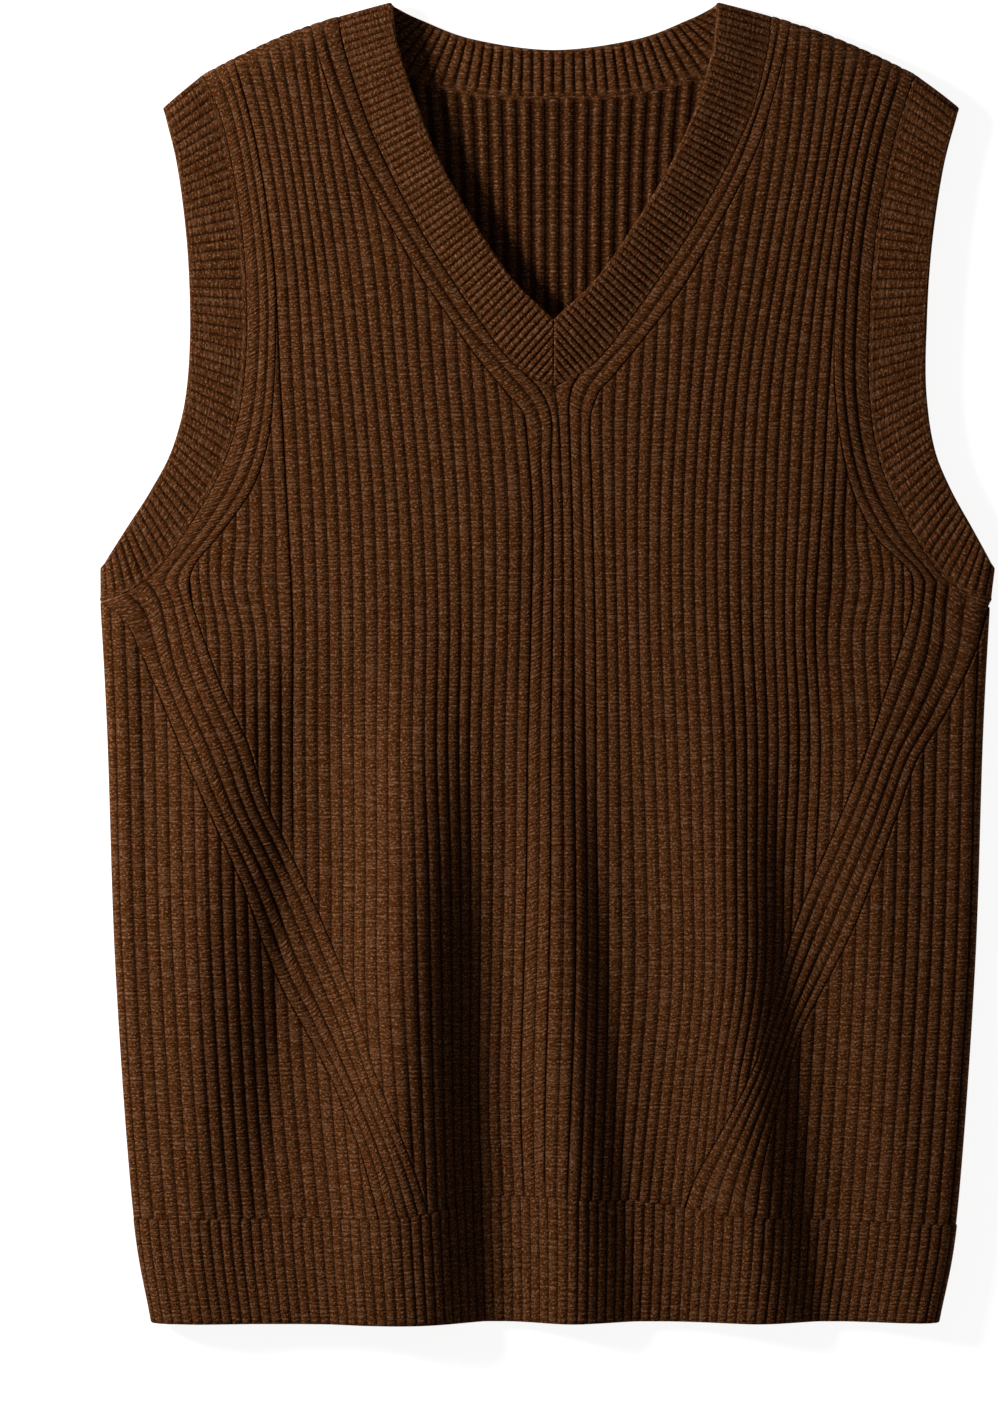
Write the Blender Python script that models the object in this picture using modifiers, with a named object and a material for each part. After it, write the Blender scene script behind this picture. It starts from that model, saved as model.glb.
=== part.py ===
"""A ribbed sweater vest with a V neck, lying flat on its back, with soft folds in its lower front.

Real size, in metres once built. +Y runs from the hem to the neck, +Z up from the surface that the vest
lies on, and the wearer's left is at +X. The origin is on that surface, in the middle of the footprint.
The tables below are in millimetres: out is the distance out from the garment's centre line, and up is
the height above the hem. Each sub-part is one layer of cloth, a sheet that Solidify makes a wall.
"""

from collections import namedtuple

import bmesh
import bpy
import numpy as np

MM = 0.001
COLLECTION = "sweater_vest"

# The cloth.
WALL = 3.0
SEAM_GAP = 0.4
SHOULDER_GAP = 0.55
CORNER_GAP = 1.3
CORNER_LIFT = 0.45

# The main sizes.
LENGTH = 680.0
HEM_RIB_UP = 55.0
UNDERARM_SEAM_UP = 371.0
V_SEAM_UP = 481.5
ROW_DIP = 46.0
CORNER_ROW = 9.0

Point = namedtuple("Point", "out up")

# The folded edges of the tube, at the middle of the cloth's thickness.
SIDE_FOLD = (
    Point(201.5, 0),
    Point(211, 57),
    Point(220, 181),
    Point(224.5, 305),
    Point(229.2, 389),
)
SHOULDER_FOLD = (
    Point(83.5, 678.5),
    Point(115, 670.3),
    Point(144, 660),
    Point(177, 644.6),
    Point(195, 634),
    Point(204.5, 624),
)

# The free edges of the bands, and the seams that join the bands to the body.
ARMHOLE_EDGE = (
    Point(229.2, 389),
    Point(218, 408),
    Point(205.5, 429),
    Point(196, 450),
    Point(190.5, 478),
    Point(189.5, 512),
    Point(191.5, 553),
    Point(197, 594),
    Point(204.5, 624),
)
ARMHOLE_SEAM = (
    Point(228.3, 371),
    Point(213, 377),
    Point(200, 388),
    Point(184.5, 411),
    Point(170.5, 438),
    Point(162.5, 468),
    Point(160, 508),
    Point(163, 560),
    Point(172, 610),
    Point(182.7, 641.5),
)
NECK_EDGE = (
    Point(0, 516),
    Point(25, 541.5),
    Point(55, 589),
    Point(70, 622),
    Point(80.5, 655),
    Point(83.5, 678.5),
)
NECK_SEAM = (
    Point(0, V_SEAM_UP),
    Point(19, 492),
    Point(40, 518),
    Point(71, 565),
    Point(96.5, 615),
    Point(107.5, 650),
    Point(111.5, 671.3),
)
BACK_NECK_EDGE = (
    Point(83.5, 678.5),
    Point(69, 671.5),
    Point(42, 661.5),
    Point(0, 656),
)
BACK_NECK_SEAM = (
    Point(111.5, 671.3),
    Point(96, 655),
    Point(76, 643),
    Point(44, 634.5),
    Point(0, 632),
)

# The vest lies a little askew: how far each level leans towards +X, at the neck and at the sides.
Lean = namedtuple("Lean", "up neck side")
LEANS = (
    Lean(0, -1.3, -1.3),
    Lean(367, -1.3, -1.3),
    Lean(389, 0, 0),
    Lean(430, 1.8, 1.8),
    Lean(470, 2.8, 4.1),
    Lean(512, 3.1, 5.5),
    Lean(625, 3.1, 6.9),
    Lean(680, 3.1, 3.5),
)
NECK_OUT = 160.0

# The loft: how high the front's outer face lies at the hem, from the wearer's right to the left.
CHEST_LOFT = 12.0
LOFT_FADES_UP = (60.0, 330.0)
Crest = namedtuple("Crest", "at height")
CRESTS = (
    Crest(-205, 14),
    Crest(-180, 17),
    Crest(-90, 22),
    Crest(-6, 19.5),
    Crest(77, 23),
    Crest(170, 20),
    Crest(205, 14),
)

# The front's long folds: each trough's place across, its half width, how high its floor lies, where it
# starts and is fully deep above the hem, and the share of its depth that is left at the hem.
Trough = namedtuple("Trough", "at half_width floor starts_up full_up hem_share")
TROUGHS = (
    Trough(-150, 20, 12.0, 265, 150, 0.5),
    Trough(-40, 18, 6.8, 330, 150, 1),
    Trough(31, 20, 10.0, 310, 130, 1),
    Trough(123, 19, 6.8, 255, 120, 1),
)
TROUGH_FLAT = 0.35
TROUGH_REACH = 1.25
HEM_ZONE_UP = 60.0

# The back's folds, which rise off the surface under the front's ridges.
Rise = namedtuple("Rise", "at half_width height starts_up full_up")
RISES = (
    Rise(-92, 20, 5.0, 240, 90),
    Rise(-2, 13, 3.5, 190, 60),
    Rise(77, 20, 6.0, 260, 80),
)

# The bands stand up a little towards their free edges.
NECKBAND_RISE = 4.5
ARMHOLE_BAND_RISE = 4.0
BAND_SHARES = (0, 0.3, 0.65, 1)

# Folded edges: the cloth turns within this distance, after a short straight stretch at the seam.
FOLD_REACH = 10.0
FOLD_STEPS = FOLD_REACH * (1 - np.cos(np.radians([0, 30, 60, 90])))
FOLD_STRAIGHT = 0.2

# How far each piece stands back from a seam's line, in seam gaps.
SETBACK_FLAT = 0.75
SETBACK_FOLDED = 1.75

# The grid: columns across each half of the front, closer together at the troughs, and of the back.
COLUMNS_RIGHT = (0, 12, 21, 29, 40, 51, 60, 70, 92, 118, 134, 150, 167, 191.5)
COLUMNS_LEFT = (0, 10, 18, 31, 44, 54, 77, 99, 108, 123, 138, 147, 168, 191.5)
BACK_NECK_COLUMNS = 6
BACK_SHOULDER_COLUMNS = 3
EDGE_STEPS = (7.5, 5, 2.5, 0)
BODY_ROWS = 7
YOKE_ROWS = 9
ARMHOLE_MIDDLE_ROWS = 13
HEM_ROWS = 2
NECK_CROWDING = 1.25
CURVE_SAMPLES = 24

BROWN = (0.12, 0.055, 0.022, 1.0)
BAND_BROWN = (0.105, 0.048, 0.02, 1.0)
ROUGHNESS = 0.95


def smooth_step(value, start, end):
    """0 before start and 1 after end, with a smooth change between them."""
    t = np.clip((value - start) / (end - start), 0, 1)
    return t * t * (3 - 2 * t)


def smooth_curve(points):
    """A fine polyline on the Catmull-Rom curve through a table's points."""
    known = np.array(points, float)
    before = 2 * known[0] - known[1]
    after = 2 * known[-1] - known[-2]
    knots = np.vstack([before, known, after])
    t = np.linspace(0, 1, CURVE_SAMPLES, endpoint=False)[:, None]
    spans = []
    for a, b, c, d in zip(knots, knots[1:], knots[2:], knots[3:]):
        linear = t * (c - a)
        square = t**2 * (2 * a - 5 * b + 4 * c - d)
        cube = t**3 * (3 * b - a - 3 * c + d)
        spans.append(0.5 * (2 * b + linear + square + cube))
    return np.vstack([*spans, known[-1:]])


def curve_length(curve):
    return np.linalg.norm(np.diff(curve, axis=0), axis=1).sum()


def along(curve, distances):
    """The places on a polyline at these distances from its start."""
    steps = np.linalg.norm(np.diff(curve, axis=0), axis=1)
    run = np.concatenate([[0], np.cumsum(steps)])
    return np.column_stack([np.interp(distances, run, curve[:, axis]) for axis in (0, 1)])


def both_ends_folded(curve, middle):
    """Places along a curve, close together at both ends, where the cloth turns over."""
    length = curve_length(curve)
    even = np.linspace(FOLD_REACH, length - FOLD_REACH, middle + 1)[1:-1]
    return along(curve, np.concatenate([FOLD_STEPS, even, length - FOLD_STEPS[::-1]]))


def end_folded(curve, middle, crowding=1.0):
    """Places along a curve, close together at its far end, and by crowding at its near end too."""
    length = curve_length(curve)
    even = (length - FOLD_REACH) * np.linspace(0, 1, middle + 1)[:-1] ** crowding
    return along(curve, np.concatenate([even, length - FOLD_STEPS[::-1]]))


def fold_distance(plan):
    """How far each place lies from the nearest folded edge."""
    flat = plan.reshape(-1, 1, 2)
    nearest = np.full(len(flat), np.inf)
    for table in (SIDE_FOLD, SHOULDER_FOLD):
        curve = smooth_curve(table)
        start, run = curve[:-1], np.diff(curve, axis=0)
        share = ((flat - start) * run).sum(2) / (run * run).sum(1)
        foot = start + np.clip(share, 0, 1)[:, :, None] * run
        nearest = np.minimum(nearest, np.linalg.norm(flat - foot, axis=2).min(1))
    return nearest.reshape(plan.shape[:-1])


def lift_of(distance):
    """0 at a folded edge's seam and 1 where the layer lies flat: a short straight, then an ellipse."""
    inward = 1 - np.clip(distance / FOLD_REACH, 0, 1)
    return FOLD_STRAIGHT + (1 - FOLD_STRAIGHT) * np.sqrt(1 - inward**2)


def bump(position):
    """1 over a fold's middle, 0 past its reach."""
    return 1 - smooth_step(np.abs(position), TROUGH_FLAT, TROUGH_REACH)


def front_outer_height(across, up):
    """The front's outer face: the loft, which grows towards the hem, less the troughs."""
    at_hem = np.interp(across, [c.at for c in CRESTS], [c.height for c in CRESTS])
    growth = 1 - smooth_step(up, *LOFT_FADES_UP)
    height = CHEST_LOFT + (at_hem - CHEST_LOFT) * growth
    for trough in TROUGHS:
        depth = 1 - smooth_step(up, trough.full_up, trough.starts_up)
        depth = depth * (1 - (1 - trough.hem_share) * (1 - smooth_step(up, 0, HEM_ZONE_UP)))
        share = depth * bump((across - trough.at) / trough.half_width)
        height = height - (height - trough.floor) * share
    return height


def back_middle_height(across, up):
    """The middle of the back's wall: flat on the surface but for its few rises."""
    height = np.full(np.shape(across), WALL / 2)
    for rise in RISES:
        growth = 1 - smooth_step(up, rise.full_up, rise.starts_up)
        height = height + rise.height * growth * bump((across - rise.at) / rise.half_width)
    return height


class Patch:
    """A grid of places: plan (rows, columns, out and up), lift, layer (1 front, -1 back), raised."""

    def __init__(self, plan, layer, raised=0.0):
        self.plan = np.array(plan, float)
        self.lift = lift_of(fold_distance(self.plan))
        self.layer = np.full(self.lift.shape, float(layer))
        self.raised = np.zeros(self.lift.shape) + raised
        self.seam_gap = np.zeros(self.lift.shape)

    def places(self, side):
        """The grid in space, in metres, for the half at side: 1 for +X, -1 for -X."""
        out, up = self.plan[..., 0], self.plan[..., 1]
        across = side * out
        high = front_outer_height(across, up) - WALL / 2 + self.raised
        low = back_middle_height(across, up)
        z = (high + low) / 2 + self.layer * (self.lift * (high - low) + self.seam_gap) / 2
        levels = [lean.up for lean in LEANS]
        at_neck = np.interp(up, levels, [lean.neck for lean in LEANS])
        at_side = np.interp(up, levels, [lean.side for lean in LEANS])
        x = across + at_neck + (at_side - at_neck) * np.clip(out / NECK_OUT, 0, 1)
        return MM * np.stack([x, up - LENGTH / 2, z], axis=-1)


# The stations that neighbouring pieces share, so that their edges run side by side.
ARMHOLE_SEAM_STATIONS = both_ends_folded(smooth_curve(ARMHOLE_SEAM), ARMHOLE_MIDDLE_ROWS)
ARMHOLE_EDGE_STATIONS = both_ends_folded(smooth_curve(ARMHOLE_EDGE), ARMHOLE_MIDDLE_ROWS)
STRAP_ROWS = len(ARMHOLE_SEAM_STATIONS) - 1 - YOKE_ROWS
NECK_MIDDLE = STRAP_ROWS - len(FOLD_STEPS) + 1
NECK_SEAM_STATIONS = end_folded(smooth_curve(NECK_SEAM), NECK_MIDDLE, NECK_CROWDING)
NECK_EDGE_STATIONS = end_folded(smooth_curve(NECK_EDGE), NECK_MIDDLE, NECK_CROWDING)
BACK_NECK_SEAM_STATIONS = end_folded(smooth_curve(BACK_NECK_SEAM[::-1]), BACK_NECK_COLUMNS)[::-1]
BACK_NECK_EDGE_STATIONS = end_folded(smooth_curve(BACK_NECK_EDGE[::-1]), BACK_NECK_COLUMNS)[::-1]
TAB_ROWS = len(FOLD_STEPS) - 1


def apart(seam, edge):
    """The seam's places moved a little away from the edge's, and more where the cloth turns over."""
    away = seam - edge
    setback = SEAM_GAP * (SETBACK_FLAT + SETBACK_FOLDED * (1 - lift_of(fold_distance(seam))))
    return seam + away * (setback / np.linalg.norm(away, axis=1))[:, None]


def rows_across(inner, outer, shares, on_side_fold):
    """Straight rows from inner to outer places: columns by share, then the steps to the outer edge."""
    rows = []
    for start, end, folded in zip(inner, outer, on_side_fold):
        run = end - start
        length = np.linalg.norm(run)
        steps = [*FOLD_STEPS[-2::-1], 0] if folded else EDGE_STEPS
        before_end = [FOLD_REACH + (length - FOLD_REACH) * (1 - share) for share in shares]
        distance = np.array([*before_end, *steps])
        rows.append(end - run / length * distance[:, None])
    return np.array(rows)


def side_places(levels):
    """Places on the side fold at these heights."""
    curve = smooth_curve(SIDE_FOLD)
    return np.column_stack([np.interp(levels, curve[:, 1], curve[:, 0]), levels])


def body_levels():
    """The heights of the body's rows at the centre line and at the side, from the hem rib up."""
    corner = UNDERARM_SEAM_UP - SEAM_GAP
    centre = np.linspace(HEM_RIB_UP + SEAM_GAP, corner - ROW_DIP, BODY_ROWS + 1)
    side = np.linspace(HEM_RIB_UP + SEAM_GAP, corner - CORNER_ROW, BODY_ROWS)
    return centre, np.append(side, corner)


def open_side_seam(patch, rows):
    """The patch's outer column, up to this row, becomes the edge of the side seam."""
    patch.lift[:rows, -1] = 0
    patch.seam_gap[:rows, -1] = SEAM_GAP


def open_underarm_corner(patch):
    """The side seam's top end stands further open, because the band's loop turns over there."""
    patch.lift[BODY_ROWS, -2] = CORNER_LIFT
    patch.seam_gap[BODY_ROWS, -1] = CORNER_GAP


def centre_places(levels):
    return np.column_stack([np.zeros(len(levels)), levels])


def column_shares(columns):
    return [column / columns[-1] for column in columns]


def front_half(columns):
    """Half of the front: up the centre and the V, and over the shoulder to the shoulder seam."""
    centre, side = body_levels()
    armhole = apart(ARMHOLE_SEAM_STATIONS, ARMHOLE_EDGE_STATIONS)
    neck = apart(NECK_SEAM_STATIONS, NECK_EDGE_STATIONS)
    yoke = centre_places(np.linspace(centre[-1], neck[0, 1], YOKE_ROWS + 1)[1:-1])
    inner = np.vstack([centre_places(centre), yoke, neck])
    outer = np.vstack([side_places(side), armhole[1:]])
    folded = np.arange(len(inner)) <= BODY_ROWS
    shares = column_shares(columns)
    patch = Patch(rows_across(inner, outer, shares, folded), 1)
    open_side_seam(patch, BODY_ROWS + 1)
    open_underarm_corner(patch)
    patch.lift[-1] = 0

    behind = slice(1, TAB_ROWS + 1)
    tab_neck = apart(BACK_NECK_SEAM_STATIONS, BACK_NECK_EDGE_STATIONS)[behind]
    rows = rows_across(tab_neck, armhole[::-1][behind], shares, [False] * TAB_ROWS)
    tab = Patch(np.concatenate([patch.plan[-1:], rows]), -1)
    tab.lift[0] = 0
    return [patch, tab]


def back_half():
    """Half of the back: rows that bend at the top to follow the neck seam and the shoulder seam."""
    centre, side = body_levels()
    armhole = apart(ARMHOLE_SEAM_STATIONS, ARMHOLE_EDGE_STATIONS)[1 : -TAB_ROWS]
    neck = apart(BACK_NECK_SEAM_STATIONS, BACK_NECK_EDGE_STATIONS)[TAB_ROWS:][::-1]
    corner, tip = neck[-1], armhole[-1]
    neck_columns = len(neck) - 1
    shoulder = BACK_SHOULDER_COLUMNS
    columns = [*range(neck_columns + 1), *(neck_columns + 1 + np.arange(shoulder))]
    shares = column_shares(columns)
    levels = np.linspace(centre[-1], neck[0, 1], len(armhole) + 1)[1:]
    inner = np.vstack([centre_places(centre), centre_places(levels)])
    outer = np.vstack([side_places(side), armhole])
    folded = np.arange(len(inner)) <= BODY_ROWS
    plan = rows_across(inner, outer, shares, folded)

    straight = plan[-1].copy()
    run = np.linspace(0, 1, len(straight) - neck_columns)[:, None]
    top = np.vstack([neck[:-1], corner + (tip - corner) * run])
    along_seam = (tip - corner) / np.linalg.norm(tip - corner)
    top[neck_columns:] += SHOULDER_GAP * np.array([along_seam[1], -along_seam[0]])
    bend = smooth_step(np.arange(len(plan)), BODY_ROWS, len(plan) - 1)
    plan = plan + bend[:, None, None] * (top - straight)
    patch = Patch(plan, -1)
    open_side_seam(patch, BODY_ROWS + 1)
    open_underarm_corner(patch)
    return [patch]


def hem_half(layer, columns):
    """Half of a hem rib, from the hem up to the line where the body's ribs begin."""
    levels = np.linspace(0, HEM_RIB_UP, HEM_ROWS + 1)
    shares = column_shares(columns)
    folded = [True] * len(levels)
    patch = Patch(rows_across(centre_places(levels), side_places(levels), shares, folded), layer)
    open_side_seam(patch, len(levels))
    return [patch]


def band_rows(seam, edge):
    """Rows from the seam to the free edge, one for each station along the band."""
    start = apart(seam, 2 * seam - edge)
    return start[:, None] + (edge - start)[:, None] * np.array(BAND_SHARES)[:, None]


def band_patches(seam, edge, layer, rise, folded_ends):
    """One layer of a band, raised towards its free edge, with no lift at the ends that turn over."""
    patch = Patch(band_rows(seam, edge), layer, rise * smooth_step(np.array(BAND_SHARES), 0, 1))
    for end in folded_ends:
        patch.lift[end] = 0
    return patch


def armhole_band_patches():
    """The loop's front and back layers, which join at the underarm and at the shoulder."""
    seam, edge = ARMHOLE_SEAM_STATIONS, ARMHOLE_EDGE_STATIONS
    return [band_patches(seam, edge, layer, ARMHOLE_BAND_RISE, (0, -1)) for layer in (1, -1)]


def neckband_half_patches():
    """Half of the neckband: up one side of the V, over the shoulder, to the middle of the back."""
    front = band_patches(NECK_SEAM_STATIONS, NECK_EDGE_STATIONS, 1, NECKBAND_RISE, (-1,))
    front.plan[0, :, 0] += SEAM_GAP / 2
    back = band_patches(BACK_NECK_SEAM_STATIONS, BACK_NECK_EDGE_STATIONS, -1, NECKBAND_RISE, (0,))
    return [front, back]


def add_grid(mesh, places):
    """A grid primitive whose vertices are moved to these places."""
    rows, columns = places.shape[:2]
    made = bmesh.ops.create_grid(mesh, x_segments=columns - 1, y_segments=rows - 1, size=1)
    for vertex in made["verts"]:
        column = round((vertex.co.x + 1) / 2 * (columns - 1))
        row = round((vertex.co.y + 1) / 2 * (rows - 1))
        vertex.co = places[row, column]


def make_material(name, colour):
    material = bpy.data.materials.new(name)
    material.use_nodes = True
    shader = material.node_tree.nodes["Principled BSDF"]
    shader.inputs["Base Color"].default_value = colour
    shader.inputs["Roughness"].default_value = ROUGHNESS
    shader.inputs["Metallic"].default_value = 0
    return material


def make_piece(name, grids, colour):
    """One sub-part: its grids joined into one sheet, which Solidify gives the cloth's thickness."""
    mesh = bmesh.new()
    for places in grids:
        add_grid(mesh, places)
    bmesh.ops.remove_doubles(mesh, verts=mesh.verts, dist=0.01 * MM)
    bmesh.ops.recalc_face_normals(mesh, faces=mesh.faces)
    data = bpy.data.meshes.new(name)
    mesh.to_mesh(data)
    mesh.free()
    data.materials.append(make_material(name, colour))
    piece = bpy.data.objects.new(name, data)
    bpy.data.collections[COLLECTION].objects.link(piece)
    wall = piece.modifiers.new("cloth thickness", "SOLIDIFY")
    wall.thickness = WALL * MM
    wall.offset = 0
    wall.use_quality_normals = True
    return piece


def both_halves(make_half):
    """The grids of a piece whose halves meet at the centre line: make_half gives each side's."""
    return [patch.places(side) for side in (-1, 1) for patch in make_half(side)]


def main():
    for old in list(bpy.data.objects):
        bpy.data.objects.remove(old)
    bpy.context.scene.collection.children.link(bpy.data.collections.new(COLLECTION))
    columns = {-1: COLUMNS_RIGHT, 1: COLUMNS_LEFT}
    back_columns = range(BACK_NECK_COLUMNS + BACK_SHOULDER_COLUMNS + 1)
    make_piece("front_body", both_halves(lambda side: front_half(columns[side])), BROWN)
    make_piece("back_body", both_halves(lambda side: back_half()), BROWN)
    make_piece("hem_rib_front", both_halves(lambda side: hem_half(1, columns[side])), BROWN)
    make_piece("hem_rib_back", both_halves(lambda side: hem_half(-1, back_columns)), BROWN)
    make_piece("neckband", both_halves(lambda side: neckband_half_patches()), BAND_BROWN)
    for name, side in (("armhole_band_right", -1), ("armhole_band_left", 1)):
        grids = [patch.places(side) for patch in armhole_band_patches()]
        make_piece(name, grids, BAND_BROWN)


main()
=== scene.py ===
"""Looks of a ribbed sweater vest with a V neck, lying flat on its back.

Every knitted piece is a thin corrugated shell that follows its solid's form. The tables are in
millimetres: x is measured as the vest lies, out from its own centre line, and up from the hem. A piece
is made of sheets: grids of places on the middle of the cloth, with how high the rib stands at each.
"""

from collections import namedtuple

import bpy
import numpy as np
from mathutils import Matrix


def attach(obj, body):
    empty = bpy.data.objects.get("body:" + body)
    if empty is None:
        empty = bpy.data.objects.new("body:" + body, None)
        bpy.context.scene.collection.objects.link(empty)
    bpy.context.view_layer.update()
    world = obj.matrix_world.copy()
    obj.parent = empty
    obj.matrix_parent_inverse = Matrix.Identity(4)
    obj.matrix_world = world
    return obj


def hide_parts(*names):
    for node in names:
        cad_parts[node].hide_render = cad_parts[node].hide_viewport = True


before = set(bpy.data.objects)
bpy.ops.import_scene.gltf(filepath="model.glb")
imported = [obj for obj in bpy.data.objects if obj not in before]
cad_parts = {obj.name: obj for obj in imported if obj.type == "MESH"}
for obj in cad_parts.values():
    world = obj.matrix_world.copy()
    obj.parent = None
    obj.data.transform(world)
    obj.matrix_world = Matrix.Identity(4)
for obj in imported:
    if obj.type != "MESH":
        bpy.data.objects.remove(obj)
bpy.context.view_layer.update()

MM = 0.001
LENGTH = 680.0
WALL = 3.0
HALF_WALL = WALL / 2
# The wearer's right and left.
SIDES = (-1, 1)

Point = namedtuple("Point", "out up")
Spot = namedtuple("Spot", "x up")

# --- The form of the lying vest, as its solids have it.

SIDE_FOLD = (
    Point(201.5, 0), Point(211, 57), Point(220, 181), Point(224.5, 305), Point(229.2, 389),
)
SHOULDER_FOLD = (
    Point(83.5, 678.5), Point(115, 670.3), Point(144, 660), Point(177, 644.6), Point(195, 634),
    Point(204.5, 624),
)
ARMHOLE_EDGE = (
    Point(229.2, 389), Point(218, 408), Point(205.5, 429), Point(196, 450), Point(190.5, 478),
    Point(189.5, 512), Point(191.5, 553), Point(197, 594), Point(204.5, 624),
)
ARMHOLE_SEAM = (
    Point(228.3, 371), Point(213, 377), Point(200, 388), Point(184.5, 411), Point(170.5, 438),
    Point(162.5, 468), Point(160, 508), Point(163, 560), Point(172, 610), Point(182.7, 641.5),
)
NECK_EDGE = (
    Point(0, 516), Point(25, 541.5), Point(55, 589), Point(70, 622), Point(80.5, 655), Point(83.5, 678.5),
)
NECK_SEAM = (
    Point(0, 481.5), Point(19, 492), Point(40, 518), Point(71, 565), Point(96.5, 615), Point(107.5, 650),
    Point(111.5, 671.3),
)
BACK_NECK_EDGE = (
    Point(83.5, 678.5), Point(69, 671.5), Point(42, 661.5), Point(0, 656),
)
BACK_NECK_SEAM = (
    Point(111.5, 671.3), Point(96, 655), Point(76, 643), Point(44, 634.5), Point(0, 632),
)

Lean = namedtuple("Lean", "up neck side")
LEANS = (
    Lean(0, -1.3, -1.3), Lean(367, -1.3, -1.3), Lean(389, 0, 0), Lean(430, 1.8, 1.8), Lean(470, 2.8, 4.1),
    Lean(512, 3.1, 5.5), Lean(625, 3.1, 6.9), Lean(680, 3.1, 3.5),
)
# How far out the middle's lean has all become the sides' lean.
NECK_OUT = 160.0

# The height of the front's outer face: at the chest, and at the hem from the wearer's right to the left.
CHEST_LOFT = 12.0
LOFT_FADES_UP = (190.0, 440.0)
Crest = namedtuple("Crest", "at height")
CRESTS = (
    Crest(-205, 16.5), Crest(-178, 21), Crest(-150, 19), Crest(-126, 18.9), Crest(-110, 20.2),
    Crest(-94, 25.8), Crest(-78, 28.2), Crest(-60, 27.4), Crest(-6, 21.5), Crest(20, 23), Crest(77, 21.5),
    Crest(108, 22), Crest(170, 17), Crest(205, 16),
)
# The front's troughs, in the same order. Each runs from its place at the hem to its place at the top
# level, and widens on the way.
Trough = namedtuple(
    "Trough",
    "at_hem at_top left left_widens right right_widens floor starts_up full_up fades_up hem_share",
)
TROUGH_TOP_UP = 300.0
TROUGHS = (
    Trough(-144, -129, 44, 0, 52, 0.1, 6.3, 370, 290, 150, 0.08),
    Trough(-29, -36, 43, 0.1, 38, 0.2, 6.2, 430, 160, 60, 1),
    Trough(49, 24, 51, -0.2, 58, 0, 7.0, 520, 150, 60, 1),
    Trough(143, 118, 43, -0.1, 42, 0, 6.8, 450, 120, 60, 1),
)
# Soft creases of the front: where, how far they lean to the side for each millimetre up, and their size.
Crease = namedtuple("Crease", "x up lean left right half_length depth")
CREASES = (
    Crease(149, 362, 0.14, 12, 30, 110, 2.4),
    Crease(-203, 325, 0, 8, 20, 70, 1.5),
    Crease(202, 330, 0.05, 9, 16, 90, 1.2),
    Crease(-112, 560, 0.5, 12, 20, 50, 0.8),
    Crease(-55, 500, -0.6, 10, 22, 50, 0.8),
    Crease(95, 590, -0.3, 11, 24, 55, 0.8),
    Crease(0, 400, 0.1, 11, 22, 60, 0.8),
)
# The body and its bands dip where they are linked.
SEAM_DIP = 1.1
SEAM_DIP_REACH = 9.0
# As shares of a fold's reach: how round a pleat's bottom is, how wide a trough's bottom and a rise's top
# are flat, and where its wall ends.
PLEAT_BOTTOM = 0.12
BOTTOM_FLAT = 0.2
FOLD_FLAT = 0.35
FOLD_SPREAD = 1.25
# A level just over the hem rib.
HEM_ZONE_UP = 60.0
# Where the back panel rises under the front's crests.
Rise = namedtuple("Rise", "at half_width height starts_up full_up")
RISES = (
    Rise(-98, 18, 5.0, 240, 90), Rise(-2, 10, 2.5, 190, 60), Rise(90, 13, 5.0, 240, 80),
)
# How far a band rises from its seam to its free edge.
NECKBAND_RISE = 2.4
ARMHOLE_BAND_RISE = 0.2
# A folded edge rounds off over this distance, after a straight that takes up this share of its height.
FOLD_REACH = 10.0
FOLD_STRAIGHT = 0.2
# Points on each span of a table's curve.
CURVE_SAMPLES = 24

# --- The knitting: where the ribs run. Ribs are numbered outwards from the centre groove.

# The height of the underarm, and how far short of it the side panel ends.
UNDERARM_UP = 371.0
SEAM_GAP = 0.4
GUIDE_LEVELS = (666.5, 609.5, 547.5, 485.5, 423.5, 361.5, 299.5, 237.5, 175.5, 113.5, 59)
# Each guide gives where one groove of the front lies at these levels.
FRONT_GUIDES = {
    -31: (-210, -205, -194, -190, -188.5, -182, -180.5, -180.5, -180.5, -180.5, -180.5),
    -23: (-166, -150.5, -141, -137.5, -134, -131, -131.5, -131, -130.5, -128, -125.5),
    -17: (-127, -118.5, -108.5, -101.5, -96, -94, -94, -93.5, -93.5, -89.5, -85),
    -11: (-95, -84, -71, -65, -59, -56.5, -57.5, -56, -55, -54, -52.5),
    -7: (-73.5, -60.5, -45, -39, -34, -33, -34.5, -34.5, -35, -36, -34),
    -3: (-50.5, -36, -22, -14, -8, -8.5, -10, -10.5, -12, -13.5, -11.5),
    0: (3, 3, 4, 4.5, 7.5, 8, 7.5, 8, 7.5, 5.5, 4),
    3: (53, 42.5, 29.5, 22, 23, 24.5, 25, 25, 25, 23.5, 21.5),
    9: (89, 77, 65.5, 61.5, 58, 58, 60.5, 63, 64, 58, 52),
    13: (112.5, 105, 94.5, 86, 81.5, 81.5, 84.5, 85.5, 85.5, 79, 73.5),
    19: (148.5, 141, 130, 121, 117.5, 116.5, 118.5, 116.5, 115, 105.5, 99.5),
    23: (177, 161, 150.5, 145, 141.5, 137.5, 140.5, 138, 133.5, 125.5, 120),
    31: (218, 208, 197.5, 190, 187, 188.5, 191, 188.5, 184.5, 177, 172),
}
BACK_LEVELS = (666.5, 609.5, 547.5, 485.5, 423.5, 361.5, 238, 55)
BACK_GUIDES = {
    -28: (-215, -205, -194, -190, -188, -184, -182, -180),
    -20: (-166, -151, -142, -139, -136, -134, -133, -130),
    -10: (-77, -71, -68, -67, -66, -65, -64, -63),
    0: (3, 3, 3, 3, 2, 0, 0, 0),
    10: (83, 77, 74, 73, 70, 65, 64, 63),
    20: (172, 158, 150, 145, 141, 134, 133, 130),
    28: (221, 208, 198, 190, 188, 184, 182, 180),
}

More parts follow.
